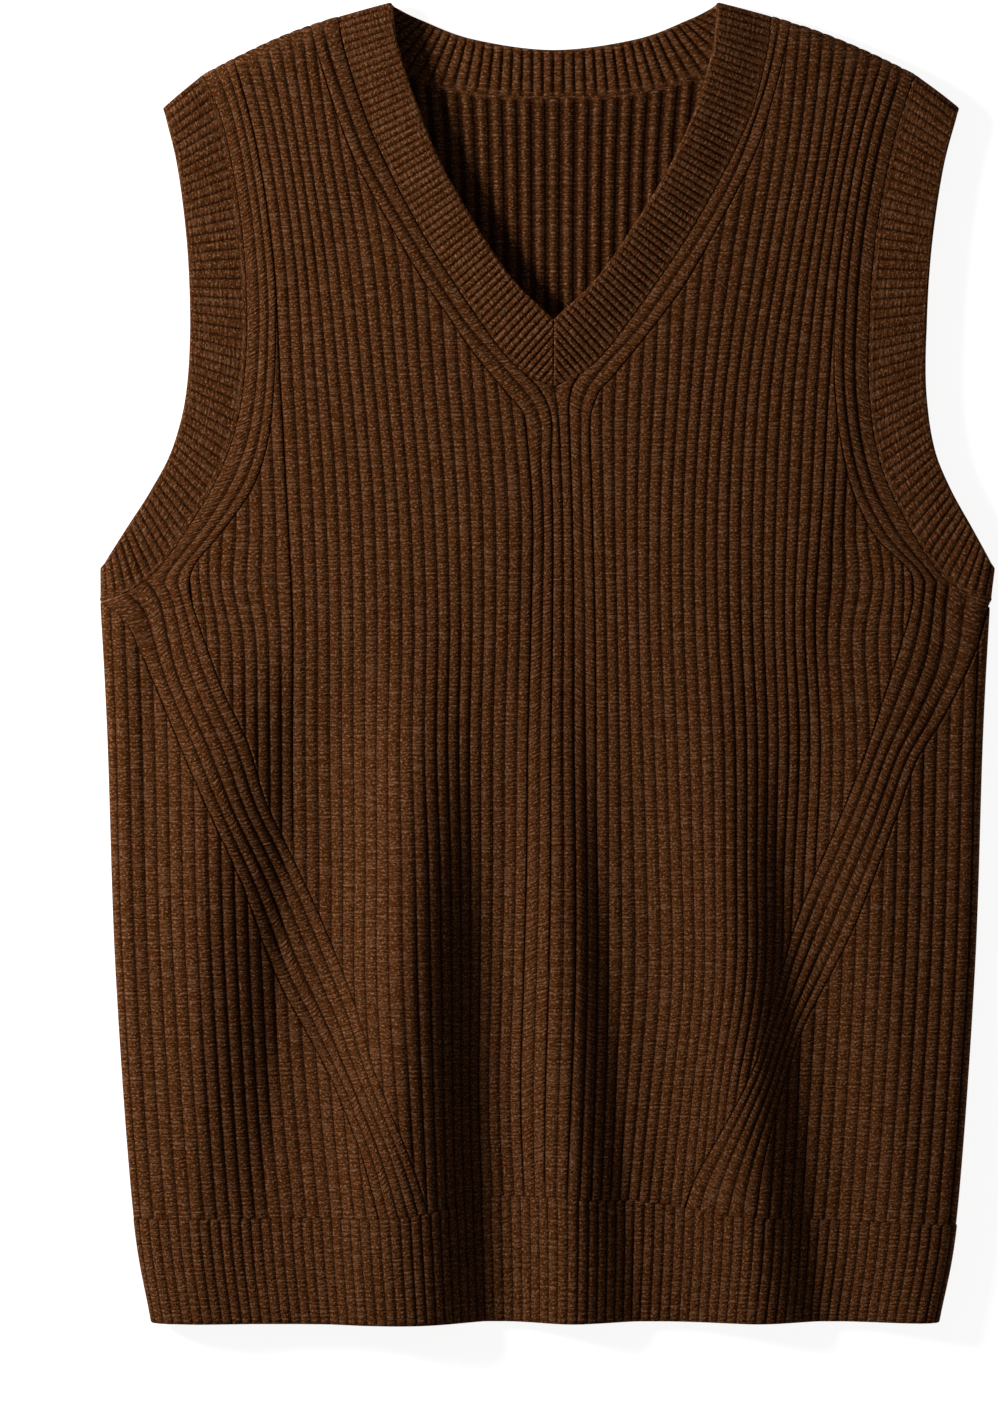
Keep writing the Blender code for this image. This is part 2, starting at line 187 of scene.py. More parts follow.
# The lines that the ribs end on. Inner and outer are the edges of the diagonal band of five ribs that
# runs from each underarm to the hem rib; beside the armhole is the edge of the three ribs that follow it.
INNER_DIAGONAL = {
    -1: (
        Spot(-184.2, 380.5), Spot(-183.6, 374), Spot(-180.8, 364.5), Spot(-174.5, 346), Spot(-166, 323.5),
        Spot(-153.7, 297), Spot(-145, 267.5), Spot(-131, 238.5), Spot(-114.5, 203), Spot(-97.4, 161),
        Spot(-89, 132), Spot(-73, 92), Spot(-65.5, 71), Spot(-57.5, 41.5),
    ),
    1: (
        Spot(188.3, 380.5), Spot(187.9, 373), Spot(184.5, 358), Spot(174, 325.5), Spot(164, 295),
        Spot(149.5, 257.5), Spot(128.5, 207.5), Spot(112, 155), Spot(104.5, 130), Spot(94.5, 108.5),
        Spot(83.5, 88), Spot(74, 69), Spot(66.5, 41.5),
    ),
}
OUTER_DIAGONAL = {
    -1: (
        Spot(-227.6, 369.5), Spot(-217, 361), Spot(-209, 344), Spot(-193, 306.5), Spot(-180, 276),
        Spot(-158.5, 228), Spot(-142, 182), Spot(-122.6, 146), Spot(-110, 122.5), Spot(-101, 101.5),
        Spot(-94.3, 84), Spot(-86, 53.5), Spot(-81.5, 36),
    ),
    1: (
        Spot(227.6, 371.5), Spot(225, 362), Spot(219, 342), Spot(204, 311.5), Spot(189.5, 288.4),
        Spot(179.5, 260.5), Spot(159.5, 207.5), Spot(147.5, 181.5), Spot(129.4, 146), Spot(117.5, 111),
        Spot(110.4, 81.6), Spot(106.6, 54.5), Spot(105, 39),
    ),
}
BESIDE_ARMHOLE = {
    -1: (
        Spot(-141, 547.5), Spot(-139.5, 522), Spot(-140, 491), Spot(-142.5, 460), Spot(-147.5, 439),
        Spot(-155, 423.5), Spot(-169, 404.5), Spot(-176.5, 396), Spot(-180.8, 390.6), Spot(-183.2, 385.5),
        Spot(-184.2, 380.5),
    ),
    1: (
        Spot(150.5, 547.5), Spot(147.5, 511.5), Spot(147, 485.5), Spot(149.5, 460), Spot(153.5, 439),
        Spot(158.5, 423.5), Spot(168.5, 404.5), Spot(178, 395), Spot(183.5, 390), Spot(187, 385.5),
        Spot(188.3, 380.5),
    ),
}
# No rib that ends on the line beside the armhole goes higher than this.
BRANCH_UP = 527.0
# Where the diagonal's grooves start: three on the armhole seam, the others where they bend.
DIAGONAL_STARTS = {
    -1: (
        Spot(-227.6, 369.5), Spot(-215, 375.5), Spot(-205.4, 381.9), Spot(-197.4, 381.8),
        Spot(-190.5, 381), Spot(-184.2, 380.5),
    ),
    1: (
        Spot(227.6, 371.5), Spot(215.5, 375.5), Spot(206, 381.5), Spot(200, 381.5), Spot(194, 381),
        Spot(188.3, 380.5),
    ),
}
# Beside the V: the first strip ends on the middle line, the rib after it on the outer one.
V_MIDDLE = {
    -1: (
        Spot(-118, 674.5), Spot(-112, 651), Spot(-104.5, 628.5), Spot(-94.5, 601.5), Spot(-83.5, 580.5),
        Spot(-60, 541.5), Spot(-44, 516.5), Spot(-33.5, 504), Spot(-17, 485), Spot(-9, 475.5),
        Spot(-4.5, 466), Spot(-3, 454.5), Spot(-2.8, 424),
    ),
    1: (
        Spot(120.5, 676), Spot(115.5, 649), Spot(109.5, 627.5), Spot(97, 593.5), Spot(82, 564.5),
        Spot(63.5, 535.5), Spot(48.5, 514), Spot(40.5, 504.5), Spot(29.5, 493), Spot(23, 485),
        Spot(18.5, 476.5), Spot(17, 463), Spot(17.8, 424),
    ),
}
V_OUTER = {
    -1: (
        Spot(-124, 674.5), Spot(-118, 651), Spot(-111, 628.5), Spot(-101, 601.5), Spot(-90, 580.5),
        Spot(-67.5, 541.5), Spot(-52, 519), Spot(-39, 500), Spot(-26, 484), Spot(-19.5, 476),
        Spot(-13, 468.5), Spot(-10, 461.5), Spot(-8.5, 452), Spot(-8, 424),
    ),
    1: (
        Spot(127, 676), Spot(120.5, 646), Spot(114.5, 624), Spot(108.5, 605), Spot(96.5, 580),
        Spot(73, 537.5), Spot(56, 514), Spot(40, 494), Spot(32.5, 485), Spot(27, 479.5), Spot(24, 471),
        Spot(22, 461.5), Spot(22, 452), Spot(23, 424),
    ),
}
# The first groove inside the V starts on the seam, near its point.
V_INNER = {
    -1: (
        Spot(-10.9, 487.5), Spot(-4.4, 481), Spot(-0.8, 475), Spot(1.8, 467), Spot(2.6, 456),
        Spot(2.3, 424),
    ),
    1: (
        Spot(16.8, 488.5), Spot(12.3, 480.5), Spot(11, 471), Spot(11.3, 461), Spot(12, 450),
        Spot(13, 424),
    ),
}
V_POINT_UP = 481.0
V_CENTRE = (Spot(3, 488), Spot(3.6, 478), Spot(5, 470), Spot(6.5, 452), Spot(7.5, 424))
HEM_LINE = (
    Spot(-240, 53.5), Spot(-211, 53.7), Spot(-139, 53.9), Spot(-75.5, 55.5), Spot(-23.5, 64.5),
    Spot(17, 63.5), Spot(58, 60.8), Spot(105, 54.5), Spot(202, 50.7), Spot(240, 50.5),
)
BACK_HEM_LINE = (Spot(-240, 55), Spot(-80, 55), Spot(80, 55), Spot(240, 55))

# Numbers of ribs on each side: the last one beside the V, the first one that goes over the shoulder, the
# one from which they end under the armhole's ribs, and the last one, at the underarm. The side panel's own
# ribs are counted from the side seam.
V_RIBS = 3
SHOULDER_RIB = 16
BRANCH_RIB = 23
LAST_RIB = 31
BACK_BRANCH_RIB = 20
BACK_LAST_RIB = 28
SIDE_PANEL_RIBS = {-1: 20, 1: 17}
BACK_SIDE_PANEL_RIBS = 18

# --- How the cloth is made up.

# Where the mesh has its columns within one rib, and how round a rib is.
RIB_PHASES = (0, 0.14, 0.35, 0.65, 0.86)
BODY_ROUND = 3.4
BAND_ROUND = 2.6
# One stitch's height, and how wide the ribs of the hem and of the bands are.
STITCH = 2.2
HEM_RIB = 5.2
NECK_RIB = 3.75
BACK_NECK_RIB = 5.4
ARMHOLE_RIB = 4.8
# Depth of a groove as a share of half the wall.
BODY_DEPTH = 0.64
HEM_DEPTH = 0.6
NECK_DEPTH = 0.8
ARMHOLE_DEPTH = 0.55
# The cords on the inside of the wide ribs: how deep the gaps between them are, and how wide they are.
CORD_DEPTH = 1.0
CORD_ROUND = 8.0
# The share of its depth that a groove has on a folded shoulder, a free edge or a linked seam, and how far
# from there it has all of it.
FOLD_GROOVE = 0.4
EDGE_GROOVE = 0.4
EDGE_REACH = 3.5
SEAM_GROOVE = 0.35
SEAM_REACH = 3.0
# How high a rib still stands where it meets a line, the hem rib, or a band, and how long it rounds off.
AT_LINE = 0.3
AT_HEM_RIB = 0.85
AT_BAND = 0.75
END_TAPER = 2.6
# The linked edge of a band: a raised chain beside the seam.
ARMHOLE_LINK = 0.95
NECK_LINK = 0.4
LINK_AT = 1.3
LINK_HALF_WIDTH = 0.9
# A free edge's thickness, as a share of the wall, at these distances in from it.
FREE_EDGE_STEPS = (0.0, 0.35, 1.1, 2.4)
FREE_EDGE_THICKNESS = (0.3, 0.75, 0.97, 1.0)

# --- How finely it is made, and where one run of ribs gives way to the next.

# Levels of the lattice that holds the upright ribs, and the step and the reach of its sections.
LATTICE_FROM = 30.0
LATTICE_TO = 690.0
LATTICE_STEP = 2.0
LEVELS = np.arange(LATTICE_FROM, LATTICE_TO + LATTICE_STEP, LATTICE_STEP)
SECTION_STEP = 1.0
SECTION_REACH = 240
# How far in from the folded side the sections of the side panel and of the hem rib go.
PANEL_WIDTH = 190
HALF_WIDTH = 228
# Rows beside a folded edge: how far in they are, and how far the layer is lifted there.
TURN_ANGLES = np.radians([0, 18, 36, 54, 72, 90])
FOLD_INWARD = FOLD_REACH * (1 - np.cos(TURN_ANGLES))
FOLD_LIFT = FOLD_STRAIGHT + (1 - FOLD_STRAIGHT) * np.sin(TURN_ANGLES)
# Rows of the hem rib, up from its free edge, and of the bands, across from their seam.
HEM_LEVELS = np.array([*FREE_EDGE_STEPS, 5, 9, 14, 19, 25, 31, 37, 42, 46, 49, 51, 52.6, 53.6, 54.3])
BAND_SHARES = np.array([0, 0.022, 0.045, 0.075, 0.11, 0.2, 0.35, 0.5, 0.65, 0.79, 0.9, 0.955, 0.988, 1])
# Rows near the ends of a rib: where it ends on a line, turns over the shoulder, or bends at the underarm.
TAPER_STEPS = np.array([0, 0.35, 1.0, 1.9, 3.4, 6.5])
FOLD_STEPS = np.array([0, 0, 0.6, 2.3, 5.2, 10.6])
BEND_STEPS = np.array([0, 1.0, 2.2, 3.8, 6.0, 9.0, 12.5, 16.5, 21.0, 26.0])
# The rows near both ends take up at most this share of a short rib.
ENDS_SHARE = 0.8
# Rows of each run of ribs.
STRIP_ROWS = 110
MAIN_ROWS = 84
BESIDE_ROWS = 52
DIAGONAL_ROWS = 62
CENTRE_ROWS = 76
WEDGE_ROWS = 26
PANEL_ROWS = 50
# Samples of each span of a table's curve, where distances from it are taken.
COARSE = 2
FINE = 4
# Samples of the longer lines, and a run along the back's neck that ends past its middle.
NAPE_RUN = 200
NAPE_SAMPLES = 60
SEAM_SAMPLES = 240
LINE_SAMPLES = 600
BAND_SAMPLES = 200
MITRE_SAMPLES = 24
NECK_SAMPLES = 160
BACK_NECK_SAMPLES = 80
# Places that agree to this many digits of a millimetre are made one.
MERGED_DIGITS = 2
TINY = 1e-6
# How far a rib may reach past a line it ends on, and the shortest rib.
TOUCHING = 0.02
SHORTEST = 0.8
# Levels that are clear of every line: under the V's point, and just over the hem rib's edge.
CLEAR_UP = 430
PANEL_FROM = 56
# The V's seam gives way to the first groove's own line this far above where that line starts.
CLEAR_OF_SEAM = 1.0
# The heights between which a line gives way to an upright rib: a groove beside the V, the outer line of
# the V's ribs, and the inner edge of the ribs that follow the armhole.
GROOVE_JOINS = (436, 462)
V_JOINS = (454, 478)
BRANCH_JOINS = (513, 541)
# Steps in which a groove finds the height where it meets the hem rib or the shoulder.
MEETING_STEPS = 6
# How far along the V's seam the ribs that end on the neckband's mitre go.
MITRE_RUN = 24.0
# Where the grooves of the armhole's three ribs run across their width, and the shares of their length
# from which they even out and bend towards the diagonal, and up to which the diagonal still bends.
BESIDE_WIDTHS = (0, 0.40, 0.71, 1)
EVEN_FROM = 0.7
BEND_FROM = 0.9
BEND_UNTIL = 0.14
# Over what length a diagonal run settles onto the hem line, or onto the seam.
SETTLE_REACH = 14.0
# How far the ribs inside the bend at the underarm bow outwards, and over what height.
WEDGE_BOW = 4.5
WEDGE_BOW_REACH = 20.0


def smooth_step(value, start, end):
    """0 before start and 1 after end, with a smooth change between them."""
    t = np.clip((value - start) / (end - start), 0, 1)
    return t * t * (3 - 2 * t)


def smooth_curve(points):
    """A fine polyline on the Catmull-Rom curve through a table's points."""
    known = np.array(points, float)
    before = 2 * known[0] - known[1]
    after = 2 * known[-1] - known[-2]
    knots = np.vstack([before, known, after])
    t = np.linspace(0, 1, CURVE_SAMPLES, endpoint=False)[:, None]
    spans = []
    for a, b, c, d in zip(knots, knots[1:], knots[2:], knots[3:]):
        linear = t * (c - a)
        square = t**2 * (2 * a - 5 * b + 4 * c - d)
        cube = t**3 * (3 * b - a - 3 * c + d)
        spans.append(0.5 * (2 * b + linear + square + cube))
    return np.vstack([*spans, known[-1:]])


def half_curve(points):
    """The fine curve through a table that ends on the centre line, level there as its mirror image is."""
    mirrored = Point(-points[-2].out, points[-2].up)
    return smooth_curve([*points, mirrored])[: (len(points) - 1) * CURVE_SAMPLES + 1]


def smooth_through(at, known_at, known):
    """Cubic Hermite values at these places, through known ones, with slopes from their neighbours."""
    known_at = np.array(known_at, float)
    known = np.array(known, float)
    slopes = np.gradient(known, known_at)
    at = np.clip(at, known_at[0], known_at[-1])
    i = np.clip(np.searchsorted(known_at, at) - 1, 0, len(known_at) - 2)
    span = known_at[i + 1] - known_at[i]
    t = (at - known_at[i]) / span
    values = (1 + 2 * t) * (1 - t) ** 2 * known[i] + t**2 * (3 - 2 * t) * known[i + 1]
    return values + span * (t * (1 - t) ** 2 * slopes[i] + t**2 * (t - 1) * slopes[i + 1])


def run_of(points):
    """The distance along a polyline, or along each column of a grid, from its start."""
    steps = np.linalg.norm(np.diff(points, axis=0), axis=-1)
    return np.concatenate([np.zeros((1, *steps.shape[1:])), np.cumsum(steps, axis=0)])


def along(curve, distances):
    """The places on a polyline at these distances from its start."""
    run = run_of(curve)
    return np.column_stack([np.interp(distances, run, axis) for axis in curve.T])


def at_level(curve, up):
    """A line's place across at each height; the line never turns back on itself."""
    order = np.argsort(curve[:, 1])
    return np.interp(up, curve[order, 1], curve[order, 0])


def at_height(curve, across):
    """A line's height at each place across; the line never turns back on itself."""
    order = np.argsort(curve[:, 0])
    return np.interp(across, curve[order, 0], curve[order, 1])


def lean_at(up):
    """How far a level leans at the neck and at the sides."""
    levels = [lean.up for lean in LEANS]
    neck = np.interp(up, levels, [lean.neck for lean in LEANS])
    side = np.interp(up, levels, [lean.side for lean in LEANS])
    return neck, side


def x_of(across, up):
    """Where a place lies: its distance across the upright vest plus its level's lean, which changes
    evenly from the neck's to the sides'."""
    neck, side = lean_at(up)
    return across + neck + (side - neck) * np.clip(np.abs(across) / NECK_OUT, 0, 1)


def across_of(x, up):
    """The lean taken out again: the distance across the upright vest of a place as it lies."""
    neck, side = lean_at(up)
    near = (x - neck) / (1 + np.sign(x - neck) * (side - neck) / NECK_OUT)
    return np.where(np.abs(near) < NECK_OUT, near, x - side)


def laid_line(spots):
    """The fine curve through a table of places as they lie, with the lean taken out."""
    curve = smooth_curve(spots)
    return np.column_stack([across_of(curve[:, 0], curve[:, 1]), curve[:, 1]])


def bump(position):
    """1 over a rise's middle, 0 past its reach, with a smooth step between."""
    return 1 - smooth_step(np.abs(position), FOLD_FLAT, FOLD_SPREAD)


def hollow(position):
    """1 at a trough's bottom, 0 past its reach. The left wall falls like a pleat's rounded side, ever
    steeper towards the bottom; the right one climbs softly."""
    rounded = np.sqrt(position**2 + PLEAT_BOTTOM**2) - PLEAT_BOTTOM
    left = (1 - np.clip(rounded / (np.sqrt(1 + PLEAT_BOTTOM**2) - PLEAT_BOTTOM), 0, 1)) ** 2
    right = 1 - smooth_step(position, BOTTOM_FLAT, FOLD_SPREAD)
    return np.where(position < 0, left, right)


def front_outer_height(across, up):
    """The front's outer face: the loft, which grows towards the hem, less the troughs."""
    at_hem = np.interp(across, [c.at for c in CRESTS], [c.height for c in CRESTS])
    growth = 1 - smooth_step(up, *LOFT_FADES_UP)
    height = CHEST_LOFT + (at_hem - CHEST_LOFT) * growth
    for trough in TROUGHS:
        drift = trough.at_top - trough.at_hem
        middle = trough.at_hem + drift * up / TROUGH_TOP_UP
        left = trough.left * (1 + trough.left_widens * up / TROUGH_TOP_UP)
        right = trough.right * (1 + trough.right_widens * up / TROUGH_TOP_UP)
        reach = np.where(across < middle, left, right)
        depth = 1 - smooth_step(up, trough.full_up, trough.starts_up)
        depth = depth * (1 - (1 - trough.hem_share) * (1 - smooth_step(up, 0, trough.fades_up)))
        share = depth * hollow((across - middle) / reach)
        height = height - (height - trough.floor) * share
    for crease in CREASES:
        aside = across - crease.x - crease.lean * (up - crease.up)
        aside = aside / np.where(aside < 0, crease.left, crease.right)
        beyond = (up - crease.up) / crease.half_length
        height = height - crease.depth * np.exp(-(aside**2) - beyond**2)
    return height


def back_middle_height(across, up):
    """The middle of the back's wall: flat on the surface but for its few rises."""
    height = HALF_WALL + 0 * across * up
    for rise in RISES:
        growth = 1 - smooth_step(up, rise.full_up, rise.starts_up)
        height = height + rise.height * growth * bump((across - rise.at) / rise.half_width)
    return height


def height_at(across, up, turn, raised=0.0):
    """The middle of the cloth: turn is 1 on the front layer, -1 on the back one, 0 on a folded edge."""
    high = front_outer_height(across, up) - HALF_WALL + raised
    low = back_middle_height(across, up)
    return (high + low) / 2 + turn * (high - low) / 2


def distance_from(tables, across, up, samples):
    """How far each place lies from the nearest of these mirrored curves."""
    flat = np.stack([np.abs(across), up], axis=-1).reshape(-1, 1, 2)
    least = np.full(len(flat), np.inf)
    for table in tables:
        curve = smooth_curve(table)[:: CURVE_SAMPLES // samples]
        start, run = curve[:-1], np.diff(curve, axis=0)
        share = ((flat - start) * run).sum(2) / (run * run).sum(1)
        foot = start + np.clip(share, 0, 1)[:, :, None] * run
        least = np.minimum(least, np.linalg.norm(flat - foot, axis=2).min(1))
    return least.reshape(np.shape(across))


def place(across, up, turn, raised=0.0):
    """Places on the middle of the cloth, in millimetres, from where they are on the upright vest."""
    turn = np.broadcast_to(turn, np.shape(across))
    from_seam = distance_from((ARMHOLE_SEAM, NECK_SEAM), across, up, COARSE)
    dip = SEAM_DIP * np.exp(-((from_seam / SEAM_DIP_REACH) ** 2))
    raised = raised - dip * np.clip(turn, 0, 1)
    return np.stack([x_of(across, up), up - LENGTH / 2, height_at(across, up, turn, raised)], axis=-1)


def lift_at(across, up):
    """How far each place is lifted off the seam's level: 0 at a folded edge and 1 where the layer lies
    flat. It is a short straight and then an ellipse, over the distance from the nearest folded edge."""
    distance = distance_from((SIDE_FOLD, SHOULDER_FOLD), across, up, FINE)
    inward = 1 - np.clip(distance / FOLD_REACH, 0, 1)
    return FOLD_STRAIGHT + (1 - FOLD_STRAIGHT) * np.sqrt(1 - inward**2)


def folded_section(flat):
    """Distances in from a folded edge, on past the fold to these flat ones, and the lift at each."""
    inward = np.concatenate([[0], FOLD_INWARD, flat])
    return inward, np.concatenate([[0], FOLD_LIFT, np.ones(len(flat))])


def rib_columns(count, start=0):
    """The mesh columns of a run of ribs: each column's rib number with its phase."""
    ribs = start + np.arange(count)[:, None] + np.array(RIB_PHASES)
    return np.append(ribs.ravel(), start + count)


def ridge(columns, roundness):
    """How high a rib stands: 0 in a groove, 1 on the crest, with a rounded back."""
    return 1 - np.abs(2 * (columns % 1) - 1) ** roundness


Sheet = namedtuple("Sheet", "places turn crest thickness rib row")


def make_sheet(places, turn, crest, rib, row, thickness=1.0):
    """A grid of cloth, with every value spread over the whole grid."""
    shape = places.shape[:2]
    spread = [np.broadcast_to(value, shape).astype(float) for value in (turn, crest, thickness, rib, row)]
    turn, crest, thickness, rib, row = spread
    return Sheet(places, turn, crest, thickness, rib, row)


# --- The body's ribs.


class Lattice:
    """Where the upright ribs of a layer run. Between its guides the ribs are spread evenly along the
    cloth's own surface, so that they crowd where a fold turns away."""

    def __init__(self, guides, guide_levels, layer):
        self.layer = layer
        self.numbers = np.array(list(guides), float)
        levels = guide_levels[::-1]
        x = np.array([smooth_through(LEVELS, levels, guide[::-1]) for guide in guides.values()])
        self.guides = across_of(x, LEVELS)
        self.grid = np.arange(-SECTION_REACH, SECTION_REACH + SECTION_STEP, SECTION_STEP)
        across, up = np.meshgrid(self.grid, LEVELS, indexing="ij")
        height = height_at(across, up, layer)
        self.run = run_of(np.stack([across, height], axis=-1))

    def paths(self, columns):
        """The place across of each column at every level."""
        found = []
        for guides, run in zip(self.guides.T, self.run.T):
            known = np.interp(guides, self.grid, run)
            wanted = smooth_through(columns, self.numbers, known)
            found.append(np.interp(wanted, run, self.grid))
        return np.array(found).T


def on_paths(paths, up):
    """Each column's place across at its own heights, linear between the levels next to them. Up has a
    row for each mesh row."""
    position = np.clip((up - LATTICE_FROM) / LATTICE_STEP, 0, len(LEVELS) - 1 - TINY)
    index = position.astype(int)
    column = np.arange(len(paths))[None, :]
    share = position - index
    return paths[column, index] * (1 - share) + paths[column, index + 1] * share


def reached(room, start, way):
    """How far up (way 1) or down (way -1) each column goes from a start before room, its spare distance
    at each level, runs out: linear between the last level with room and the next one."""
    used = (LEVELS - start) * way >= 0
    levels, spare = LEVELS[used][::way], room[:, used][:, ::way]
    blocked = spare < 0
    blocked[:, -1] = True
    first = np.maximum(blocked.argmax(axis=1), 1)
    column = np.arange(len(room))
    before, after = spare[column, first - 1], spare[column, first]
    share = np.clip(before / np.maximum(before - after, TINY), 0, 1)
    return np.where(blocked[:, 0], start, levels[first - 1] + way * share * LATTICE_STEP)


def rows_between(tops, bottoms, near_top, near_bottom, middle):
    """Heights of the rows of each column: at set steps from its ends, even between them, and all closer
    together on a short column."""
    length = tops - bottoms
    ends = near_top[-1] + near_bottom[-1]
    scale = np.minimum(1, ENDS_SHARE * length / np.max(ends))
    upper = near_top * scale
    lower = near_bottom * scale
    share = np.linspace(0, 1, middle + 1)[1:-1, None]
    even = upper[-1] + share * (length - upper[-1] - lower[-1])
    return tops - np.vstack([upper, even, length - lower[::-1]])


def tapered(distance, least=0.0):
    """A rib's rounded end: its least height at the end and 1 past the taper."""
    inward = 1 - np.clip(distance / END_TAPER, 0, 1)
    return least + (1 - least) * np.sqrt(1 - inward**2)


def spaced(length, near_start, near_end, rows):
    """Distances of the rows of a strip: close together at its ends and even between them."""
    even = np.linspace(near_start[-1], length - near_end[-1], rows - len(near_start) - len(near_end) + 2)
    return np.concatenate([near_start[:-1], even, length - near_end[:-1][::-1]])


def shallower(crest, distance, share, reach):
    """The crests beside an edge, where a groove has this share of its depth, and all past the reach."""
    return 1 - (1 - crest) * (share + (1 - share) * smooth_step(distance, 0, reach))


def ribbed(across, up, columns, turn, fade, height=None):
    """A sheet of body ribs from its grid of places on the upright vest. Its grooves are shallower where
    the cloth turns over the shoulder and where an armhole band is linked on. Height is how far up its
    rib each place is, if not straight up."""
    crest = ridge(columns, BODY_ROUND) * fade
    crest = shallower(crest, distance_from((SHOULDER_FOLD,), across, up, COARSE), FOLD_GROOVE, FOLD_REACH)
    crest = shallower(crest, distance_from((ARMHOLE_SEAM,), across, up, FINE), SEAM_GROOVE, SEAM_REACH)
    row = (up if height is None else height) / STITCH
    return make_sheet(place(across, up, turn), turn, crest, columns, row)


def line_of(curve):
    """A curve's place across, as a function of the height."""
    return lambda up: at_level(curve, up)


def joined_lines(lower, upper, start, end):
    """A line that follows the lower one up to start and the upper one from end, with a blend between."""
    return lambda up: lower(up) + (upper(up) - lower(up)) * smooth_step(up, start, end)


def nearest(curve, spot):
    """Which point of a curve lies nearest to a spot."""
    return np.argmin(np.linalg.norm(curve - spot, axis=1))


class Half:
    """One side of a body layer: its ribs, its lines and where its rows end at the top and the bottom."""

    def __init__(self, side, lattice, hem, ribs):
        self.side = side
        self.layer = lattice.layer
        self.lattice = lattice
        self.branch, self.last, self.panel_ribs = ribs
        self.hem = smooth_curve(hem)
        self.inner = line_of(laid_line(INNER_DIAGONAL[side]))
        self.outer = line_of(laid_line(OUTER_DIAGONAL[side]))
        beside = line_of(laid_line(BESIDE_ARMHOLE[side]))
        self.beside = joined_lines(beside, self.upright(self.branch), *BRANCH_JOINS)
        self.seam = smooth_curve(ARMHOLE_SEAM) * (side, 1)
        self.starts = self.starts_on_seam()
        self.roof = smooth_curve(SHOULDER_FOLD)
        if self.layer < 0:
            neck = along(half_curve(BACK_NECK_SEAM), np.linspace(FOLD_REACH, NAPE_RUN, NAPE_SAMPLES))[::-1]
            tip = along(smooth_curve(ARMHOLE_SEAM)[::-1], [FOLD_REACH])
            self.roof = np.vstack([neck, tip])

    def starts_on_seam(self):
        """Where the diagonal's grooves start on the upright vest, the first three on the armhole seam."""
        x, up = np.array(DIAGONAL_STARTS[self.side], float).T
        starts = np.column_stack([across_of(x, up), up])
        starts[0] = self.seam[0]
        for index in (1, 2):
            starts[index] = self.seam[nearest(self.seam, starts[index])]
        return starts

    def upright(self, number):
        """An upright groove's place across, as a function of the height."""
        path = self.lattice.paths(np.array([float(self.side * number)]))[0]
        return lambda up: np.interp(up, LEVELS, path)

    def turn_of(self, across, up):
        """The layer's sign, less towards its folded edges, where it sinks to 0."""
        return self.layer * lift_at(across, up)

    def hem_up(self, across, up=HEM_ZONE_UP):
        """How far up the hem rib's edge is under each place across."""
        return np.interp(x_of(across, up), self.hem[:, 0], self.hem[:, 1])

    def roof_up(self, across):
        """How far up the layer's upper edge is over each place across."""
        return np.interp(np.abs(across), self.roof[:, 0], self.roof[:, 1])


def v_edge(half):
    """The outer line of the V's ribs: its own line above, the third upright rib below."""
    return joined_lines(half.upright(V_RIBS), line_of(laid_line(V_OUTER[half.side])), *V_JOINS)


def main_ribs(half):
    """The upright ribs: up to the V, the neck or the shoulder, and down to the diagonal or the hem."""
    side, is_front = half.side, half.layer > 0
    first = V_RIBS if is_front else 0
    columns = rib_columns(half.branch - first, first)
    paths = half.lattice.paths(side * columns)
    out = side * paths
    room = half.roof_up(paths) - LEVELS
    if is_front:
        room = np.minimum(room, out - side * v_edge(half)(LEVELS) + TOUCHING)
    tops = reached(room, CLEAR_UP, 1)
    bottoms = reached(side * half.inner(LEVELS) - out, UNDERARM_UP, -1)
    hem = half.hem_up(on_paths(paths, bottoms[None, :])[0])
    at_hem = bottoms <= hem
    bottoms = np.where(at_hem, half.hem_up(on_paths(paths, hem[None, :])[0]), bottoms)
    at_shoulder = columns >= SHOULDER_RIB if is_front else columns < 0
    near_top = np.where(at_shoulder, FOLD_STEPS[:, None], TAPER_STEPS[:, None])
    up = rows_between(tops, bottoms, near_top, TAPER_STEPS[:, None], MAIN_ROWS)
    across = on_paths(paths, up)
    turn = half.turn_of(across, up)
    turn[0, at_shoulder] = 0
    top_fade = np.where(at_shoulder, 1.0, tapered(tops - up, AT_LINE))
    fade = top_fade * tapered(up - bottoms, np.where(at_hem, AT_HEM_RIB, AT_LINE))
    return across, up, columns, turn, fade


def side_wedge(half):
    """The upright ribs under the armhole, between the line beside it and the diagonal."""
    side = half.side
    columns = rib_columns(half.last - half.branch, half.branch)
    corner_up = half.starts[-1, 1]
    outward = (columns - half.branch) / (half.last - half.branch)
    bow = WEDGE_BOW * np.exp(-(((LEVELS - corner_up) / WEDGE_BOW_REACH) ** 2))
    paths = half.lattice.paths(side * columns) + side * np.sin(np.pi * outward)[:, None] * bow
    out = side * paths
    room = np.where(LEVELS > corner_up, side * half.beside(LEVELS) - out + TOUCHING, 1.0)
    tops = np.minimum(reached(room, corner_up - LATTICE_STEP, 1), BRANCH_UP)
    tops = np.maximum(tops, corner_up + SHORTEST / 2)
    bottoms = reached(side * half.inner(LEVELS) - out, corner_up, -1)
    bottoms = np.minimum(bottoms, corner_up - SHORTEST / 2)
    up = rows_between(tops, bottoms, TAPER_STEPS[:, None], TAPER_STEPS[:, None], WEDGE_ROWS)
    across = on_paths(paths, up)
    fade = tapered(tops - up, AT_LINE) * tapered(up - bottoms, AT_LINE)
    return across, up, columns, half.turn_of(across, up), fade


